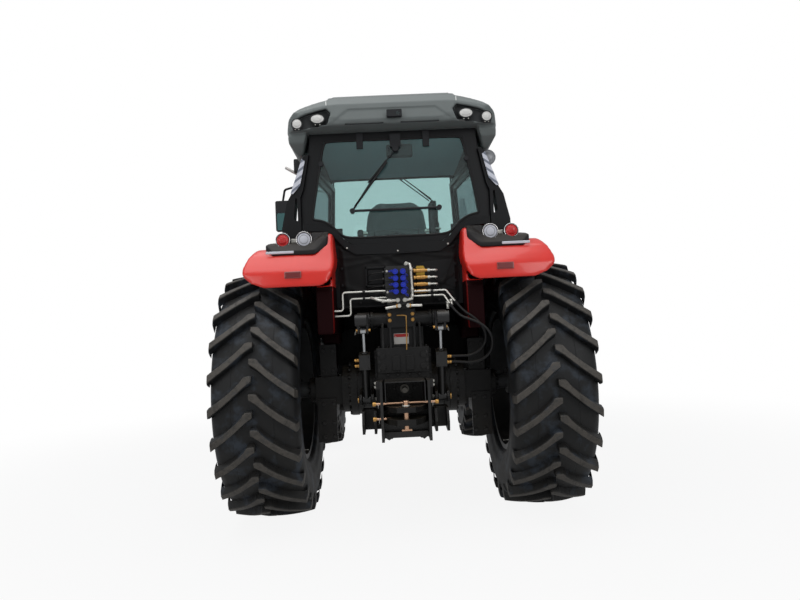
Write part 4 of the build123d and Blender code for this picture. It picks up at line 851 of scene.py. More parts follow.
pipework.append(on_path("feed_elbow", LOW_RIGHT, 0.0095, pipe_plate, 16))
for x, way, drop in ((-0.010, -1, 0.012), (0.050, 1, 0.003)):   # the two sensors under the stack
    start, back = (x, -2.085, 1.490), (x, -2.072, 1.490)
    pipework += bars(("sensor_body", start, (x + way * 0.095, -2.085, 1.490 - drop), 0.0095, pipe_plate, 16),
                     ("sensor_nut", start, (x + way * 0.020, -2.085, 1.489), 0.0150, yellow_zinc, 6),
                     ("sensor_eye", back, (x, -2.102, 1.490), 0.0135, zinc),
                     ("sensor_post", back, (x, -1.985, 1.490), 0.0080, valve_black, 12))
placed(merged("valve_pipework", pipework), "chassis", "steel")

blank_yellow = finish("plate_yellow", (196, 158, 52), 0.45, mottle=0.25)
panel = bmesh.new()
bmesh.ops.create_cube(panel, size=1.0)
bmesh.ops.transform(panel, verts=panel.verts, matrix=Matrix.Translation((0.150, -1.962, 1.725))
                    @ Matrix.Diagonal((0.060, 0.003, 0.090, 1)))
corners = [e for e in panel.edges if abs((e.verts[0].co - e.verts[1].co).y) > 0.002]
bmesh.ops.bevel(panel, geom=corners, offset=0.006, segments=3, affect="EDGES")
post = round_bar("plate_post", (0.150, -1.905, 1.725), (0.150, -1.960, 1.725), 0.006, valve_black, 12)
placed(merged("blank_plate", [post, from_form("blank_plate", panel, blank_yellow)]), "chassis", "brass")

pipe_clips = []
for x, y, z in ((-0.250, -2.050, 1.600), (-0.250, -2.025, 1.555), (0.220, -2.055, 1.586),
                (0.220, -2.050, 1.555)):
    pipe_clips += bars(("pipe_clip", (x - 0.009, y, z), (x + 0.009, y, z), 0.0095, valve_black, 16),
                       ("clip_post", (x, y, z), (x, -1.915, z), 0.0045, valve_black, 8))
for x, y, z in ((0.349, -2.055, 1.503), (0.325, -2.050, 1.488)):   # where each hose meets its pipe
    pipe_clips += bars(("hose_nut", (x, y, z), (x, y, z + 0.020), 0.0125, zinc, 6),
                       ("hose_crimp", (x, y, z - 0.032), (x, y, z), 0.0110, zinc, 20))
placed(merged("pipe_clips", pipe_clips), "chassis", "steel")


# ------------------------------------------------------------------ fenders
# Moulded fenders in gloss red with a clear coat. Inside and underneath they are coloured a dark maroon
# that is painted shade, and a strip of the inner wall a brighter red that is a painted lit edge. Each
# carries a dark moulded deck for its lamps that rises at its inner end.
fender_red = finish("fender_red", (223, 40, 28), 0.30, top=0.08, coat=0.25, mottle=0.05,
                    dust=(190, 150, 140))


def share(value):
    """A value kept between 0 and 1."""
    return min(1.0, max(0.0, value))


def moulding(name, node, grain, rounds, material, bend, thin=1.0):
    """A smooth moulded skin on a CAD node's form, with its edges rounded as they leave the mould."""
    mould = nodes[node].data.copy()
    form = bmesh.new()
    form.from_mesh(mould)
    bmesh.ops.remove_doubles(form, verts=form.verts, dist=1e-5)
    form.to_mesh(mould)
    form.free()
    skin = link(bpy.data.objects.new(name, mould))
    cells = skin.modifiers.new("cells", "REMESH")
    cells.mode = "VOXEL"
    cells.voxel_size = grain
    rounding = skin.modifiers.new("rounding", "SMOOTH")
    rounding.factor = 0.5
    rounding.iterations = rounds
    if thin < 1.0:
        skin.modifiers.new("thin", "DECIMATE").ratio = thin
    shape = plain_mesh(skin)
    skin.modifiers.clear()
    shape.name = name
    skin.data = shape
    for vertex in shape.vertices:
        bend(vertex.co)
    shape.materials.clear()
    shape.materials.append(material)
    shape.shade_smooth()
    return skin


def inner_end(spot):
    """0 outside the cab's line to 1 at the fender's inner wall, smooth, and fading out at the tail."""
    near = share((0.61 - abs(spot.x)) / 0.10)
    return near * near * (3 - 2 * near) * share((2.16 + spot.y) / 0.12)


def fender_bow(spot):
    """Draws the tail's outer corner in, crowns its face and raises the inner wall."""
    side = 1 if spot.x > 0 else -1
    if spot.y < -1.9 and spot.z > 1.62:
        away = min(1.0, (-1.9 - spot.y) / 0.2)
        across = (abs(spot.x) - 0.76) / 0.27
        spot.y += 0.018 * away * across * across
        if abs(spot.x) > 0.80:
            spot.x += side * 0.016 * away * (abs(spot.x) - 0.80) / 0.2
    if spot.z > 1.78 and -2.16 < spot.y < -0.8:
        spot.z += 0.095 * inner_end(spot) * min(1.0, (spot.z - 1.78) / 0.13)


fender_skins = moulding("fender_skins", "fenders", 0.0108, 14, fender_red, fender_bow)
INNER_EDGE = 0.466
# shaded and lit copies of the red paint: dark maroon as painted shade, brighter red as a painted lit edge
fender_inner = finish("fender_inner", (30, 7, 9), 0.6, top=0.02, specular=0.06)
fender_edge = finish("fender_edge", (104, 18, 15), 0.4, top=0.02, specular=0.2)
fender_skins.data.materials.append(fender_inner)
fender_skins.data.materials.append(fender_edge)
for face in fender_skins.data.polygons:   # painted shade below and on the low inner wall, and its lit edge
    middle, out = face.center, face.normal
    from_axle = Vector((0, middle.y - REAR_AXLE_Y, middle.z - REAR_AXLE_Z)).normalized()
    over_wheel = from_axle.dot(out) < -0.3 and abs(out.x) < 0.8
    wall = middle.z < 1.645 and abs(middle.x) < 0.62 and middle.y > -2.12
    bright_edge = out.y < -0.2 and abs(middle.x) < INNER_EDGE and middle.z > 1.32
    if (over_wheel and middle.y > -2.19) or (wall and not bright_edge):
        face.material_index = 1
    elif wall:
        face.material_index = 2
placed(fender_skins, "chassis", "red_paint", "fenders")
deck_black = finish("deck_black", (22, 20, 21), 0.5, top=0.1, grain=900, depth=0.3, specular=0.25)
moulded_black = finish("moulded_black", (28, 29, 32), 0.55, top=0.1, low=0.03, grain=900, depth=0.35,
                       soft=3, specular=0.3)


def deck_rise(spot):
    """The deck climbs behind its lamps and fills the fender's upstand, all but a thin red lip."""
    side = 1 if spot.x > 0 else -1
    high = share((spot.z - 1.86) / 0.08)
    behind = share((0.72 - abs(spot.x)) / 0.12) * share((spot.y + 2.025) / 0.03)
    spot.z += 0.066 * max(behind, inner_end(spot)) * high
    spot.x -= side * 0.022 * share((0.56 - abs(spot.x)) / 0.06)


decks = moulding("deck_mouldings", "fender_decks", 0.0055, 8, deck_black, deck_rise)
placed(decks, "chassis", "black_plastic", "fender_decks")


# ------------------------------------------------------------------ cab frame and bulkhead
# Welded tube frame in satin black, dressed outside with moulded black panels. A creased sound mat
# covers the bulkhead below the rear window, behind the valves.
def slab(name, centre, size, material, bevel=0.003, segments=3):
    """A block with rounded edges."""
    shape = bmesh.new()
    bmesh.ops.create_cube(shape, size=1.0)
    to_place = Matrix.Translation(centre) @ Matrix.Diagonal((*size, 1))
    bmesh.ops.transform(shape, matrix=to_place, verts=shape.verts)
    bmesh.ops.bevel(shape, geom=shape.edges[:], offset=bevel, segments=segments, affect="EDGES", profile=0.5)
    return from_form(name, shape, material)


def slabs(*rows):
    """Blocks, one for each row of slab's values."""
    return [slab(*row) for row in rows]


cab_black = finish("cab_black", (14, 15, 17), 0.42, top=0.14, low=0.05, grain=260, depth=0.1, soft=4,
                   specular=0.25)
trim_black = finish("trim_black", (14, 15, 17), 0.5, top=0.12, low=0.05, grain=1100, depth=0.3, mottle=0.07,
                    soft=4, specular=0.22)
floor_black = finish("floor_black", (12, 12, 13), 0.7, top=0.2, low=0.1, grain=90, depth=1, mottle=0.15,
                     specular=0.25)
dress(cab_black, "cab_frame", "door_frame_left", "door_frame_right", "hood_support")
dress(floor_black, "cab_floor")
dress(trim_black, "cab_rear_panel", "rear_pillars")
dress(moulded_black, "rear_window_fittings")

mat_black = finish("sound_mat", (12, 12, 13), 0.62, top=0.1, grain=150, depth=1.2, mottle=0.2, specular=0.2)
MAT_LEFT, MAT_RIGHT, MAT_LOW, MAT_HIGH = -0.425, 0.425, 1.510, 1.930
BULKHEAD_Y = -1.890


def crease(x, z, start_x, start_z, angle, width, height):
    """A rounded fold across the mat along a line through a point."""
    off = (x - start_x) * math.sin(angle) - (z - start_z) * math.cos(angle)
    return height * math.exp(-(off / width) ** 2)


CREASES = (   # a point on the fold, its angle in degrees, its width and height in mm
    (-0.33, 1.80, 12, 14, 5), (-0.30, 1.62, -20, 18, 6), (0.28, 1.85, -9, 13, 6), (0.30, 1.66, 24, 20, 6),
    (0.05, 1.88, 4, 12, 5), (-0.16, 1.56, 70, 16, 4), (0.36, 1.75, 62, 15, 5), (-0.38, 1.70, 96, 12, 5),
    (0.22, 1.57, -35, 18, 6), (0.16, 1.80, 80, 14, 4), (-0.05, 1.84, -28, 15, 5),
)
columns, rows = 96, 52
mat_points = []
for j in range(rows + 1):
    for i in range(columns + 1):
        x = MAT_LEFT + (MAT_RIGHT - MAT_LEFT) * i / columns
        z = MAT_LOW + (MAT_HIGH - MAT_LOW) * j / rows
        drop = max(0.0, abs(x) - 0.34) / 0.1
        lift = 0.010
        for sx, sz, angle, width, height in CREASES:
            lift += crease(x, z, sx, sz, math.radians(angle), width / 1000, height / 1000)
        edge = min(i, columns - i, j, rows - j) / 4
        hatch = abs(x + 0.165) < 0.085 and 1.630 < z < 1.795
        lift = min(lift, 0.030) * min(1.0, edge) + (0.004 if hatch else 0.0)
        mat_points.append((x, BULKHEAD_Y - 0.001 - lift, z + 0.012 * drop))
mat_faces = [(j * (columns + 1) + i, j * (columns + 1) + i + 1, (j + 1) * (columns + 1) + i + 1,
              (j + 1) * (columns + 1) + i) for j in range(rows) for i in range(columns)]
sound_mat = mesh_object("sound_mat", mat_points, mat_faces, mat_black)
sound_mat.data.shade_smooth()
placed(sound_mat, "chassis", "black_plastic")
HATCH_X, HATCH_Z = -0.165, 1.710
hatch_frame = [slab("hatch_rim", (HATCH_X + x, -1.917, HATCH_Z + z), size, trim_black, 0.004)
               for x, z, size in ((0, 0.065, (0.150, 0.012, 0.016)), (0, -0.065, (0.150, 0.012, 0.016)),
                                  (-0.067, 0, (0.016, 0.012, 0.146)), (0.067, 0, (0.016, 0.012, 0.146)))]
hatch_frame.append(slab("hatch_lid", (HATCH_X, -1.912, HATCH_Z), (0.110, 0.010, 0.106), trim_black, 0.004))
placed(merged("bulkhead_hatch", hatch_frame), "chassis", "black_plastic")
mat_studs = [((x, -1.902, z), BACK) for x in (-0.40, -0.28, 0.28, 0.40) for z in (1.53, 1.91)]
mat_studs += [((x, -1.902, z), BACK) for x in (-0.405, 0.405) for z in (1.66, 1.78)]
push_stud = turned("push_stud", [(1.0, 0.0), (1.0, 0.12), (0.8, 0.28), (0.3, 0.36)], 16)
fasteners("mat_studs", "chassis", mat_studs, 0.010, "black_plastic", push_stud, trim_black)
band_screws = [((x, -1.916, z), BACK) for x, z in ((-0.36, 1.925), (0.0, 1.890), (0.36, 1.925))]
fasteners("band_screws", "chassis", band_screws, 0.006, "steel", push_stud)
bpy.data.objects.remove(push_stud)


# ------------------------------------------------------------------ windows
# Green tinted safety glass in rubber seals. The rear window hangs from two hinges at the top and is
# pulled shut by a bar between two clamping discs; its wiper is driven from the head of the window.
def tinted_glass(name, through, in_shade, beside=None, bends=1.45):
    """Tinted glass that lamps shine through; beside, for the panes at the cab's sides, is painted shade."""
    made, tree, shader = new_material(name)
    shader["Base Color"].default_value = through
    shader["Roughness"].default_value = 0.02
    shader["Transmission Weight"].default_value = 1.0
    shader["IOR"].default_value = bends
    if beside:
        at_side = ramp_between(tree, maths(tree, "ABSOLUTE", own_place(tree, "X")), 0.622, 0.626)
        tree.links.new(mixed(tree, at_side, through, beside), shader["Base Color"])
    lets_light = node_in(tree, "ShaderNodeBsdfTransparent", {"Color": in_shade}).outputs[0]
    in_shadow = node_in(tree, "ShaderNodeLightPath").outputs["Is Shadow Ray"]
    tree.links.new(blend(tree, in_shadow, tree.nodes["Principled BSDF"].outputs[0], lets_light),
                   tree.nodes["Material Output"].inputs["Surface"])
    return made


green_glass = tinted_glass("green_glass", (0.56, 0.72, 0.71, 1), (0.70, 0.82, 0.81, 1))
# the panes at the cab's sides and the door glass are much darker than the rest: painted shade
pane_glass = tinted_glass("pane_glass", (0.56, 0.72, 0.71, 1), (0.70, 0.82, 0.81, 1), (0.20, 0.28, 0.30, 1))
door_tint = tinted_glass("door_tint", (0.12, 0.17, 0.18, 1), (0.60, 0.72, 0.71, 1), bends=1.12)
dress(green_glass, "rear_window")
dress(pane_glass, "cab_windows")
dress(door_tint, "door_glass_left", "door_glass_right")
seal_rubber = finish("seal_rubber", (20, 20, 21), 0.6, top=0.08, grain=700, depth=0.1, mottle=0.06,
                     specular=0.3)


def seal(name, half, y):
    """A rubber seal round a window, from the right half of its (x, z) corners."""
    around = [(x, y, z) for x, z in half] + [(-x, y, z) for x, z in reversed(half[1:-1])]
    placed(on_path(name, around, 0.009, seal_rubber, 12, True), "chassis", "hose_rubber")


seal("rear_window_seal", [(0.0, 2.704), (0.25, 2.704), (0.47, 2.704), (0.502, 2.690), (0.550, 2.430),
                          (0.600, 2.160), (0.590, 2.140), (0.540, 2.134), (0.475, 2.104), (0.420, 2.045),
                          (0.370, 2.003), (0.25, 1.998), (0.0, 1.998)], -1.893)
seal("windscreen_seal", [(0.0, 2.842), (0.578, 2.842), (0.592, 2.828), (0.611, 1.590), (0.596, 1.570),
                         (0.0, 1.568)], -0.142)


# ------------------------------------------------------------------ cab inside
# A padded felt headliner is glued under the roof. The dash, the side console and the steering wheel
# are moulded in dark grey and screwed to the cab's floor and frame.
dress(moulded_black, "consoles", "steering_wheel")
liner_grey = finish("headliner_felt", (160, 186, 192), 0.9, top=0, grain=900, depth=0.1, mottle=0.02,
                    specular=0.2)
headliner = slab("headliner", (0, -1.235, 2.740), (1.14, 1.14, 0.036), liner_grey, 0.018, 4)
placed(headliner, "chassis", "black_plastic")


# ------------------------------------------------------------------ seat
# Suspension seat with foam cushions in grey woven cloth: a crowned base and a tall tapered back,
# each with two sewn channels, over a moulded shell and a bellows.
def foam_block(name, size, centre, corner):
    """A rounded foam block a little smaller than the finished cushion."""
    shape = bmesh.new()
    bmesh.ops.create_cube(shape, size=1.0)
    bmesh.ops.transform(shape, matrix=Matrix.Diagonal((*size, 1)), verts=shape.verts)
    bmesh.ops.bevel(shape, geom=shape.edges[:], offset=corner, segments=4, affect="EDGES", profile=0.5)
    bmesh.ops.transform(shape, matrix=Matrix.Translation(centre), verts=shape.verts)
    return from_form(name, shape)


def apply_all(thing):
    made = plain_mesh(thing)
    thing.modifiers.clear()
    made.name = thing.name
    thing.data = made


def stuffed(cushion, limit, cut):
    """Swells a foam block under its cover: remesh, cut, 20 frames of cloth pressure, one subdivision."""
    skin = cushion.modifiers.new("skin", "REMESH")
    skin.mode = "VOXEL"
    skin.voxel_size = 0.012
    apply_all(cushion)
    for vertex in cushion.data.vertices:
        cut(vertex.co)
    rest = [v.co.copy() for v in cushion.data.vertices]
    cloth = cushion.modifiers.new("cover", "CLOTH")
    cloth.settings.use_pressure = True
    cloth.settings.uniform_pressure_force = 4.0
    cloth.settings.effector_weights.gravity = 0.0
    cloth.settings.quality = 4
    for step in range(1, 21):
        bpy.context.scene.frame_set(step)
    swollen = plain_mesh(cushion)
    cushion.modifiers.clear()
    for vertex, moved_to, start in zip(cushion.data.vertices, swollen.vertices, rest):
        shift = moved_to.co - start
        if shift.length > limit:
            shift *= limit / shift.length
        vertex.co = start + shift
    bpy.data.meshes.remove(swollen)
    bpy.context.scene.frame_set(1)
    fine = cushion.modifiers.new("fine", "SUBSURF")
    fine.levels = fine.render_levels = 1
    apply_all(cushion)
    cushion.data.materials.clear()
    cushion.data.materials.append(seat_cloth)
    cushion.data.shade_smooth()
    return cushion


seat_cloth = finish("seat_cloth", (70, 78, 80), 0.85, grain=60, mottle=0.1, specular=0.25)
weave = seat_cloth.node_tree   # threads cross in all three directions, 0.75 mm apart
woven = weave.nodes["Principled BSDF"].inputs
threads = {way: node_in(weave, "ShaderNodeTexWave", {"Scale": 420.0, "Vector": own_place(weave)},
                        bands_direction=way).outputs["Fac"] for way in "XZY"}
relief = maths(weave, "MULTIPLY", threads["X"], maths(weave, "ADD", threads["Z"], threads["Y"]))
cloth_bump = node_in(weave, "ShaderNodeBump", {"Distance": 0.0006, "Height": relief})
weave.links.new(cloth_bump.outputs["Normal"], woven["Normal"])
woven["Sheen Weight"].default_value = 0.3


def base_cut(spot):
    """The cushion narrows towards its front, and a sewn channel runs down each side of its middle."""
    spot.x *= 1.0 - 0.10 * max(0.0, (spot.y + 1.335) / 0.215)
    if spot.z > 1.86:
        spot.z -= 0.010 * math.exp(-((abs(spot.x) - 0.125) / 0.010) ** 2)


def back_cut(spot):
    """Round shoulders, a waist, and a sewn channel down each side of the front face."""
    high = (spot.z - 1.815) / 0.50
    spot.x *= 0.93 + 0.10 * math.sin(math.pi * share(high))
    if high > 0.5:
        spot.z -= 5.5 * max(0.0, abs(spot.x) - 0.11) ** 2 * (high - 0.5) * 2
    if spot.y > -1.60:
        spot.y -= 0.010 * math.exp(-((abs(spot.x) - 0.130) / 0.010) ** 2)


base = stuffed(foam_block("seat_cushion", (0.440, 0.430, 0.100), (0, -1.335, 1.840), 0.045), 0.022, base_cut)
placed(base, "chassis", "seat_fabric", "seat")
back = stuffed(foam_block("seat_back", (0.490, 0.070, 0.500), (0, -1.608, 2.065), 0.034), 0.022, back_cut)
placed(back, "chassis", "seat_fabric")

# the moulded rear shell with its adjuster knob, the armrests and the bellows under the cushion
shell_grey = finish("seat_shell", (56, 60, 61), 0.45, grain=900, depth=0.3, mottle=0.06, soft=5,
                    specular=0.35)
seat_trim = slabs(
    ("shell", (0, -1.668, 1.935), (0.34, 0.030, 0.290), shell_grey, 0.014, 4),
    ("shell_rib", (0, -1.680, 1.985), (0.130, 0.020, 0.130), moulded_black, 0.009),
    ("bellows", (0, -1.345, 1.770), (0.36, 0.36, 0.050), moulded_black, 0.018),
    ("arm_left", (-0.2735, -1.465, 2.070), (0.047, 0.350, 0.060), moulded_black, 0.018, 4),
    ("arm_right", (0.2735, -1.620, 2.1625), (0.047, 0.066, 0.240), moulded_black, 0.018, 4))
seat_trim.append(round_bar("knob", (0, -1.684, 2.045), (0, -1.704, 2.045), 0.018, moulded_black))
for side in (-1, 1):
    seat_trim += cross_bars([("arm_pivot", 0.205, 0.252, 0.016, zinc)], -1.620, 2.070, side)
placed(merged("seat_trim", seat_trim), "chassis", "black_plastic")


# ------------------------------------------------------------------ roof
# One grey moulding with a raised middle cap. A dark moulded tray lines each lamp recess in its rear
# face, and small screws hold the lip under the slots.
roof_grey = finish("roof_grey", (104, 110, 109), 0.55, top=0.06, grain=800, depth=0.2, mottle=0.05,
                   dust=(150, 152, 146), specular=0.3)


def roof_droop(spot):
    """Lets the upper corners of the shell hang a little, and crowns the cap."""
    out = share((abs(spot.x) - 0.38) / 0.385)
    spot.z -= 0.085 * out ** 1.7 * share((spot.z - 2.79) / 0.13)
    if spot.z > 3.04:
        spot.z += 0.010 - 0.025 * (spot.x / 0.45) ** 2 * (spot.z - 3.04) / 0.06


roof_shell = moulding("roof_shell", "roof", 0.0066, 3, roof_grey, roof_droop, 0.42)
placed(roof_shell, "chassis", "roof_plastic", "roof")
tray_black = finish("tray_black", (48, 50, 51), 0.6, grain=900, depth=0.3, mottle=0.06, soft=4,
                    specular=0.25)
ROOF_Y = -1.987
RECESS = ((0.431, 2.862), (0.460, 2.902), (0.610, 2.889), (0.697, 2.854), (0.713, 2.806), (0.698, 2.763),
          (0.459, 2.787))


def face_of(thing):
    """A function that says how far back a thing's rear face lies at (x, z)."""
    skin = BVHTree.FromObject(thing, bpy.context.evaluated_depsgraph_get())

    def face(x, z):
        hit = skin.ray_cast(Vector((x, -3.0, z)), Vector((0, 1, 0)))[0]
        return hit.y if hit else -1.95

    return face


roof_face = face_of(roof_shell)


def tray(side):
    """A lining for one lamp recess: its bed, and walls that end just inside the roof's face."""
    spots = []
    for (x0, z0), (x1, z1) in zip(RECESS, RECESS[1:] + RECESS[:1]):
        spots += [(x0 + (x1 - x0) * k / 6, z0 + (z1 - z0) * k / 6) for k in range(6)]
    points = [(side * x, ROOF_Y - 0.001, z) for x, z in spots]
    for x, z in spots:
        out_x, out_z = x + 0.012 * (x - 0.58) / 0.14, z + 0.010 * (z - 2.83) / 0.07
        points.append((side * x, min(roof_face(side * out_x, out_z) + 0.002, ROOF_Y - 0.002), z))
    count = len(spots)
    faces = [tuple(range(count))[::side]]
    faces += [(k, k + count, (k + 1) % count + count, (k + 1) % count)[::side] for k in range(count)]
    lining = mesh_object("tray", points, faces)
    for vertex in lining.data.vertices:
        roof_droop(vertex.co)
    return outward(lining, wall=0.0012)


placed(merged("lamp_trays", [tray(-1), tray(1)], tray_black), "chassis", "black_plastic")


def on_roof(name, start, end, radius, material):
    """A bead laid on the roof's rear face between two (x, z) points."""
    spots = [[start[k] + (end[k] - start[k]) * step / 8 for k in (0, 1)] for step in range(9)]
    return on_path(name, [(x, roof_face(x, z) - 0.0005, z) for x, z in spots], radius, material, 8)


sealant = finish("sealant", (206, 208, 204), 0.6, mottle=0.06)
# the slots are dark beads on the face: painted shade of the openings under the lip
lip = [on_roof("slot", (side * 0.060, 2.781), (side * 0.330, 2.781), 0.005, tray_black) for side in (-1, 1)]
lip += [on_roof("seam", (side * 0.458, 2.925), (side * 0.464, 2.972), 0.0035, sealant) for side in (-1, 1)]
placed(merged("roof_lip", lip), "chassis", "black_plastic")


# ------------------------------------------------------------------ lamps
# Each work lamp is a black pressed housing with a plated rim and a moulded lens.
# Clear and red lamps stand in pairs on the fender decks; two clear ones sit in each roof recess, and
# a long stepped lens runs down each corner column. Red reflectors sit in the fender tails.
def moulded_lens(name, colour, pattern, pitch, height):
    """A lens with a moulded relief: ribs or a grid, pitch in mm and height in mm."""
    made = finish(name, colour, 0.22, top=0.02, coat=0.3, mottle=0.03, specular=0.4)
    tree = made.node_tree
    waves = [node_in(tree, "ShaderNodeTexWave", {"Scale": 314.0 / pitch, "Vector": own_place(tree)},
                     bands_direction=way).outputs["Fac"] for way in pattern]
    total = waves[0] if len(waves) == 1 else maths(tree, "MULTIPLY", *waves)
    relief = node_in(tree, "ShaderNodeBump", {"Distance": height / 1000, "Height": total})
    tree.links.new(relief.outputs["Normal"], tree.nodes["Principled BSDF"].inputs["Normal"])
    return made


lens_clear = moulded_lens("lens_clear", (222, 221, 217), "X", 4.0, 0.7)
lens_frosted = moulded_lens("lens_frosted", (212, 213, 222), "XZ", 6.0, 0.9)
lens_red = moulded_lens("lens_red", (205, 20, 22), "XZ", 5.0, 0.7)
bright_rim = finish("bright_rim", (214, 212, 212), 0.18, metallic=0.9, top=0.02, mottle=0.04)
silver_paint = finish("silver_paint", (150, 152, 156), 0.4, metallic=0.3)


def lamp(centre, radius, depth, lens, rim, shell, squash=1.0, ringed=False):
    """A lamp that faces the rear, its front at the centre: shell, rim, lens and a dark ring round it."""
    centre = Vector(centre)
    roof_droop(centre)
    place = (Matrix.Translation(centre) @ Matrix.Diagonal((1, 1, squash, 1))
             @ Matrix.Rotation(math.pi / 2, 4, "X"))
    profiles = [   # (radius as a share of the lamp's, height in mm)
        (shell, [(0.55, -1000 * depth), (0.88, -800 * depth), (0.97, -450 * depth), (0.97, -6)]),
        (rim, [(0.90, -10), (1, -10), (1, -3), (0.97, -1), (0.91, -1), (0.885, -4), (0.885, -6)]),
        (lens, [(0.89, -8), (0.89, -4), (0.84, -3), (0.70, 0), (0.66, -1.5), (0.62, -1.5), (0.58, 0.5),
                (0.3, 2.5), (0.08, 3)]),
        (shell, [(0.88, -5), (0.88, 0), (0.81, 0), (0.80, -5)]),
    ]
    if ringed:
        profiles.append((silver_paint, [(0.57, 0), (0.57, 2.5), (0.51, 2.5), (0.50, 0)]))
    parts = []
    for material, profile in profiles:
        part = turned("lamp_part", [(across * radius, high / 1000) for across, high in profile], 40)
        part.data.transform(place)
        part.data.materials.append(material)
        part.data.shade_smooth()
        parts.append(part)
    return parts


def plate(name, outline, near, far, material, edge=0.001):
    """A flat piece cut to an outline of (x, z) points, from y near to y far, with broken edges."""
    count = len(outline)
    points = [(x, y, z) for y in (near, far) for x, z in outline]
    faces = [tuple(range(count)), tuple(range(2 * count - 1, count - 1, -1))]
    faces += [(k, k + count, (k + 1) % count + count, (k + 1) % count) for k in range(count)]
    return outward(mesh_object(name, points, faces, material), broken=edge)


clear_lamps, red_lamps = [], []
for side in (-1, 1):
    clear_lamps += lamp((side * 0.650, -2.0235, 1.985), 0.056, 0.056, lens_frosted, bright_rim, moulded_black,
                        ringed=True)
    red_lamps += lamp((side * 0.797, -2.0235, 1.985), 0.052, 0.056, lens_red, bright_rim, moulded_black)
    for x, y, z, radius, depth, squash, drop, apart in (
            (0.523, -2.0195, 2.838, 0.056, 0.031, 0.66, 0.046, 0.016),
            (0.668, -2.0175, 2.812, 0.040, 0.029, 1.0, 0.047, 0.012)):
        clear_lamps += lamp((side * x, y, z), radius, depth, lens_clear, tray_black, tray_black, squash)
        foot = z - drop
        clear_lamps.append(slab("lamp_foot", (side * x, -2.000, foot + 0.004), (0.052, 0.022, 0.014),
                                tray_black))
        clear_lamps += bars(*[("foot_screw", (off, -2.010, foot), (off, -2.015, foot), 0.0042, zinc, 12)
                              for off in (side * x - apart, side * x + apart)])
    clear_lamps.append(slab("lamp_bracket", (side * 0.724, -1.950, 1.972), (0.050, 0.012, 0.060), zinc))

# the long lens on each corner column is stepped, with bright cells between grey ribs
cells = finish("lens_cells", (214, 216, 224), 0.2, top=0, coat=0.5, mottle=0.03)
tree = cells.node_tree
slant = maths(tree, "MULTIPLY", maths(tree, "ABSOLUTE", own_place(tree, "X")), 0.75)
along = maths(tree, "MULTIPLY", maths(tree, "ADD", own_place(tree, "Z"), slant), 19.0)
from_middle = maths(tree, "SUBTRACT", maths(tree, "FRACT", along), 0.5)
rib = ramp_between(tree, maths(tree, "ABSOLUTE", from_middle), 0.26, 0.36)
tree.links.new(mixed(tree, rib, linear(214, 216, 226), linear(120, 126, 140)),
               tree.nodes["Principled BSDF"].inputs["Base Color"])
COLUMN_LENS = ((0.727, 2.326), (0.744, 2.330), (0.656, 2.577), (0.634, 2.560), (0.675, 2.385))   # right side
for side in (-1, 1):
    edge = [(side * x, z) for x, z in COLUMN_LENS][::side]
    clear_lamps.append(plate("column_lens", edge, -1.920, -1.932, cells, 0.002))

# lamps beside the cab: a round silver one on the right column, a box lamp under the roof on the left
clear_lamps += lamp((0.700, -1.786, 2.572), 0.058, 0.058, silver_paint, silver_paint, silver_paint)
clear_lamps += slabs(
    ("side_lamp_arm", (0.663, -1.775, 2.549), (0.026, 0.050, 0.022), moulded_black, 0.004),
    ("side_lamp_box", (-0.766, -1.325, 2.6865), (0.068, 0.060, 0.117), moulded_black, 0.012, 4),
    ("side_lamp_lens", (-0.766, -1.356, 2.6865), (0.050, 0.008, 0.096), tray_black),
    ("side_lamp_stem", (-0.750, -1.325, 2.750), (0.020, 0.020, 0.020), moulded_black))
white_plastic = finish("white_plastic", (205, 200, 196), 0.4, mottle=0.05)
clear_lamps.append(round_bar("marker_stalk", (-0.872, -1.325, 2.684), (-0.765, -1.325, 2.618), 0.012,
                             white_plastic, 20, 0.006))
placed(merged("work_lamp_set", clear_lamps), "chassis", "lamp_clear", "work_lamps")

# red reflectors in raised bezels on the fender tails, and the clear strip on each deck's rear edge
reflector_red = finish("reflector_red", (112, 20, 20), 0.25, top=0.02, coat=0.4, mottle=0.06)
bezel_red = finish("bezel_red", (150, 74, 70), 0.3, top=0.02, coat=0.3, mottle=0.05)
tail_lean = Matrix.Rotation(math.radians(-8.1), 4, "X")
for side in (-1, 1):
    for size, off, material, edge in (((0.112, 0.012, 0.046), 0.0, bezel_red, 0.004),
                                      ((0.102, 0.008, 0.037), -0.0045, reflector_red, 0.003)):
        block = slab("reflector", (0, off, 0), size, material, edge)
        block.data.transform(Matrix.Translation((side * 0.705, -2.2195, 1.722)) @ tail_lean)
        red_lamps.append(block)
    red_lamps += slabs(("deck_strip", (side * 0.800, -2.138, 1.884), (0.190, 0.010, 0.018), lens_frosted,
                        0.004))
placed(merged("tail_lamp_set", red_lamps), "chassis", "lamp_red", "tail_lamps")
camera_eye = round_bar("camera_eye", (0.040, -2.079, 2.830), (0.040, -2.084, 2.830), 0.013, green_glass,
                       24, 0.002)
placed(camera_eye, "chassis", "glass")


# ------------------------------------------------------------------ mirror, wipers and window trim
# The left mirror is tinted glass in a black moulded head on a bent steel arm. Two wiper arms lie side
# by side across the windscreen, and the rear window has clamping discs and a wiper motor at its top.
dress(moulded_black, "mirror")
mirror_silver = finish("mirror_silver", (84, 124, 124), 0.07, metallic=0.75, top=0, mottle=0.03)
MIRROR_EDGE = [(-1.172, 2.384), (-1.160, 2.382), (-1.062, 2.382), (-1.053, 2.392), (-1.048, 2.545),
               (-1.056, 2.553), (-1.164, 2.553), (-1.174, 2.543)]
placed(plate("mirror_glass", MIRROR_EDGE, -0.0895, -0.0935, mirror_silver), "chassis", "glass")

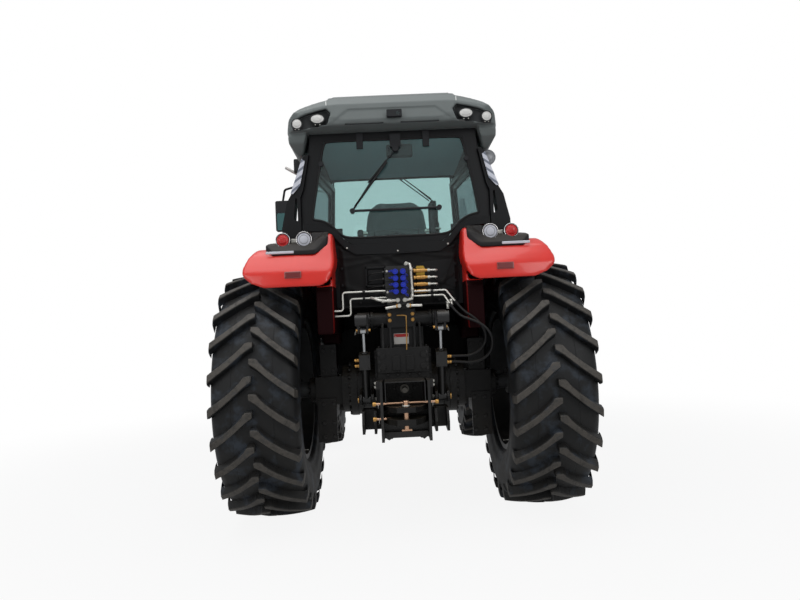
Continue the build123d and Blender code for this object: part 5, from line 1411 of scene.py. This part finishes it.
PIVOT_X, PIVOT_Z = 0.092, 2.846
window_trim = bars(
    ("wiper_pivot", (PIVOT_X, -0.136, PIVOT_Z), (PIVOT_X, -0.112, PIVOT_Z), 0.020, moulded_black, 24, 0.004),
    ("wiper_arm", (0.082, -0.120, 2.836), (0.365, -0.118, 2.608), 0.0055, seal_rubber, 12),
    ("wiper_arm", (0.102, -0.120, 2.856), (0.385, -0.118, 2.628), 0.0055, seal_rubber, 12),
    ("wiper_blade", (0.255, -0.124, 2.730), (0.402, -0.124, 2.600), 0.007, seal_rubber, 12),
    *[("clamp_disc", (x, -1.892, 2.540), (x, -1.908, 2.540), 0.019, moulded_black, 28, 0.004)
      for x in (-0.524, 0.524)],
    ("rear_blade", (-0.050, -1.920, 2.530), (-0.290, -1.916, 2.222), 0.008, seal_rubber, 12))
window_trim += slabs(("wiper_motor", (0.046, -1.845, 2.628), (0.190, 0.056, 0.094), moulded_black, 0.016, 4))
for side in (-1, 1):   # dark panels of painted shade close the gaps beside the bulkhead and under the cab's corners
    window_trim += slabs(
        ("gap_panel", (side * 0.462, -1.872, 1.735), (0.100, 0.014, 0.450), trim_black, 0.005),
        ("corner_panel", (side * 0.500, -1.862, 2.000), (0.220, 0.012, 0.150), trim_black, 0.005),
        ("under_shield", (side * 0.340, -1.300, 1.205), (0.440, 0.012, 0.290), floor_black, 0.004))
placed(merged("window_trim", window_trim), "chassis", "black_plastic")


# ------------------------------------------------------------------ lift cover plate and latch rod
# A bare riveted sheet plate on the lift cover, with one coloured edge, and the bent wire that holds
# the hitch latch open.
cover_face = face_of(nodes["rear_housing"])
plate_white = finish("plate_white", (196, 192, 186), 0.4, top=0.03, mottle=0.06)
plate_red = finish("plate_red", (170, 30, 28), 0.4, top=0.03, mottle=0.06)
plate_y = min(cover_face(x, z) for x in (-0.04, -0.005, 0.03) for z in (1.24, 1.265, 1.29)) - 0.002
cover_plate = [slab("sheet", (-0.005, plate_y, 1.265), (0.104, 0.0018, 0.074), plate_white, 0.0006, 2),
               slab("edge", (-0.005, plate_y - 0.0012, 1.288), (0.098, 0.0014, 0.022), plate_red, 0.0005, 2)]
cover_plate += [round_bar("rivet", (x, plate_y, z), (x, plate_y - 0.003, z), 0.003, zinc, 12, 0.001)
                for x in (-0.044, 0.034) for z in (1.236, 1.283)]
placed(merged("cover_plate", cover_plate), "chassis", "steel")
latch_y = min(cover_face(x, z) for x in (-0.03, 0.0, 0.03) for z in (1.42, 1.35, 1.2)) - 0.014
latch_rod = on_path("latch_rod", [(-0.030, latch_y, 1.427), (0.030, latch_y, 1.427), (0.036, latch_y, 1.415),
                                  (0.028, latch_y - 0.004, 1.190)], 0.004, yellow_zinc)
placed(latch_rod, "chassis", "brass")


# ------------------------------------------------------------------ hitch shade sheet
# A cut sheet between the two ladder plates, in front of the jaw. It is painted shade: its black fills
# the gap there.
SHADE_SHEET_EDGE = [(-0.152, 0.745), (0.152, 0.745), (0.152, 0.600), (0.120, 0.578), (0.085, 0.600),
              (-0.085, 0.600), (-0.120, 0.578), (-0.152, 0.600)]
placed(plate("hitch_apron", SHADE_SHEET_EDGE, -2.036, -2.044, sheet_black), "chassis", "steel")


# ------------------------------------------------------------------ hood
# Sheet steel hood in the fender's gloss red, with a black moulded grille clipped into its nose and
# sides, and one wide lamp lens above the nose grille.
hood_red = finish("hood_red", (206, 32, 23), 0.30, top=0.12, low=0.04, coat=0.4, mottle=0.05,
                  dust=(190, 150, 140), soft=7)
dress(hood_red, "hood_shell")
dress(moulded_black, "hood_grille")
dress(lens_clear, "headlamps")
HANDLE = [(-0.060, 1.760, 1.702), (-0.058, 1.772, 1.722), (0.058, 1.772, 1.722), (0.060, 1.760, 1.702)]
hood_trim = [slab("lamp_divider", (0, 2.028, 1.474), (0.016, 0.020, 0.096), moulded_black, 0.004),
             on_path("hood_handle", HANDLE, 0.007, moulded_black)]
placed(merged("hood_trim", hood_trim), "hood", "black_plastic")


# ------------------------------------------------------------------ exhaust
# A rolled steel silencer in heat-proof dark paint, browned near the engine, inside a punched guard
# that two clamps hold round it.
exhaust_paint = finish("exhaust_paint", (46, 42, 40), 0.62, metallic=0.35, top=0.12, low=0.05, grain=260,
                       depth=0.25, mottle=0.3, dust=(120, 92, 70), specular=0.3)
dress(exhaust_paint, "exhaust")
CAN_X, CAN_Y, GUARD_R = 0.420, 0.115, 0.053
around, up = 48, 72
turns = [2 * math.pi * i / around for i in range(around)]
guard_points = [(CAN_X + GUARD_R * math.cos(a), CAN_Y + GUARD_R * math.sin(a), 1.62 + 0.80 * j / up)
                for j in range(up + 1) for a in turns]
guard_faces = [(j * around + i, j * around + (i + 1) % around, (j + 1) * around + (i + 1) % around,
                (j + 1) * around + i) for j in range(up) for i in range(around)
               if not (2 < j < up - 3 and j % 6 in (1, 2, 3, 4) and i % 4 in (1, 2))]   # all but the holes
guard = mesh_object("guard", guard_points, guard_faces)
form = bmesh.new()
form.from_mesh(guard.data)
bmesh.ops.solidify(form, geom=form.faces[:], thickness=-0.0012)
bmesh.ops.recalc_face_normals(form, faces=form.faces)
form.to_mesh(guard.data)
form.free()
guard.data.materials.append(exhaust_paint)
CLAMP = [(0.0535, -0.009), (0.0555, -0.009), (0.0560, -0.007), (0.0560, 0.007), (0.0555, 0.009),
         (0.0535, 0.009)]
guard_parts = [guard]
for z in (1.66, 2.36):
    clamp = turned("clamp", CLAMP, 48)
    clamp.data.transform(Matrix.Translation((CAN_X, CAN_Y, z)))
    clamp.data.materials.append(zinc)
    screw_x = CAN_X + 0.063
    guard_parts += [clamp, slab("clamp_lug", (CAN_X + 0.062, CAN_Y, z), (0.014, 0.010, 0.016), zinc, 0.002),
                    round_bar("clamp_screw", (screw_x, CAN_Y - 0.014, z), (screw_x, CAN_Y + 0.014, z), 0.003,
                              zinc, 12)]
placed(merged("exhaust_guard", guard_parts), "chassis", "steel")


# ------------------------------------------------------------------ fuel tank and battery box
# The tank is blow-moulded black plastic held by two steel straps, with a ribbed filler cap. The
# battery box is folded sheet with a hinged lid that a rubber latch pulls shut.
tank_plastic = finish("tank_plastic", (24, 25, 27), 0.55, top=0.22, low=0.16, grain=300, depth=0.6,
                      mottle=0.1, specular=0.3)
dress(tank_plastic, "fuel_tank")
dress(sheet_black, "battery_box")


def strap(y, width, low, high, corner, stand):
    """A flat steel strap round the tank, bent over its rounded corners."""
    loop = []
    for cx, cz, start in ((high[0] - corner, high[1] - corner, 0), (low[0] + corner, high[1] - corner, 90),
                          (low[0] + corner, low[1] + corner, 180), (high[0] - corner, low[1] + corner, 270)):
        for step in range(7):
            angle = math.radians(start + 15 * step)
            loop.append((cx, cz, math.cos(angle), math.sin(angle)))
    points, count = [], len(loop)
    for reach in (corner + 0.0005, corner + stand):
        for across in (y - width / 2, y + width / 2):
            points += [(cx + reach * ax, across, cz + reach * az) for cx, cz, ax, az in loop]
    faces = []
    for k in range(count):
        n = (k + 1) % count
        faces += [(k, n, count + n, count + k), (2 * count + k, 3 * count + k, 3 * count + n, 2 * count + n),
                  (k, 2 * count + k, 2 * count + n, n), (count + k, count + n, 3 * count + n, 3 * count + k)]
    return outward(mesh_object("strap", points, faces, zinc))


tank_fittings = [strap(y, 0.040, (-0.800, 0.600), (-0.450, 1.120), 0.040, 0.003) for y in (-0.360, 0.200)]
cap = turned("filler_cap", [(0.038, 0.0), (0.038, 0.004), (0.036, 0.022), (0.034, 0.026), (0.012, 0.029)], 36)
for vertex in cap.data.vertices:   # grip ribs round the rim
    if 0.003 < vertex.co.z < 0.024 and round(math.degrees(math.atan2(vertex.co.y, vertex.co.x)) / 10) % 2:
        vertex.co.x *= 1.05
        vertex.co.y *= 1.05
cap.data.transform(Matrix.Translation((-0.740, -0.450, 1.120)))
cap.data.materials.append(moulded_black)
tank_fittings.append(cap)
placed(merged("tank_fittings", tank_fittings), "chassis", "steel")

LID_HANDLE = [(0.806, -0.300, 0.960), (0.832, -0.296, 0.960), (0.832, -0.194, 0.960), (0.806, -0.190, 0.960)]
box_trim = [slab("lid", (0.802, -0.245, 0.880), (0.008, 0.500, 0.400), sheet_black, 0.004),
            slab("latch", (0.810, -0.245, 1.055), (0.012, 0.032, 0.070), moulded_black, 0.005),
            on_path("lid_handle", LID_HANDLE, 0.006, sheet_black)]
box_trim += [round_bar("lid_hinge", (0.808, y - 0.03, 0.684), (0.808, y + 0.03, 0.684), 0.007, zinc, 16)
             for y in (-0.42, -0.07)]
placed(merged("battery_box_trim", box_trim), "chassis", "black_paint")


# ------------------------------------------------------------------ steps
# Welded steps in satin black on each side. Raised round dimples are pressed up through each tread so
# that a boot grips it.
dress(sheet_black, "steps")
tread_button = turned("tread_button", [(1.0, 0.0), (0.85, 0.22), (0.35, 0.30)], 8)
buttons = [((side * (0.825 + 0.0232 * i), -0.400 + 0.0235 * j, z), UP)
           for side in (-1, 1) for z in (0.550, 0.830, 1.110) for i in range(8) for j in range(12)]
fasteners("tread_buttons", "chassis", buttons, 0.011, "black_paint", tread_button, sheet_black)
for pattern in (tread_button, hex_bolt):
    bpy.data.objects.remove(pattern)
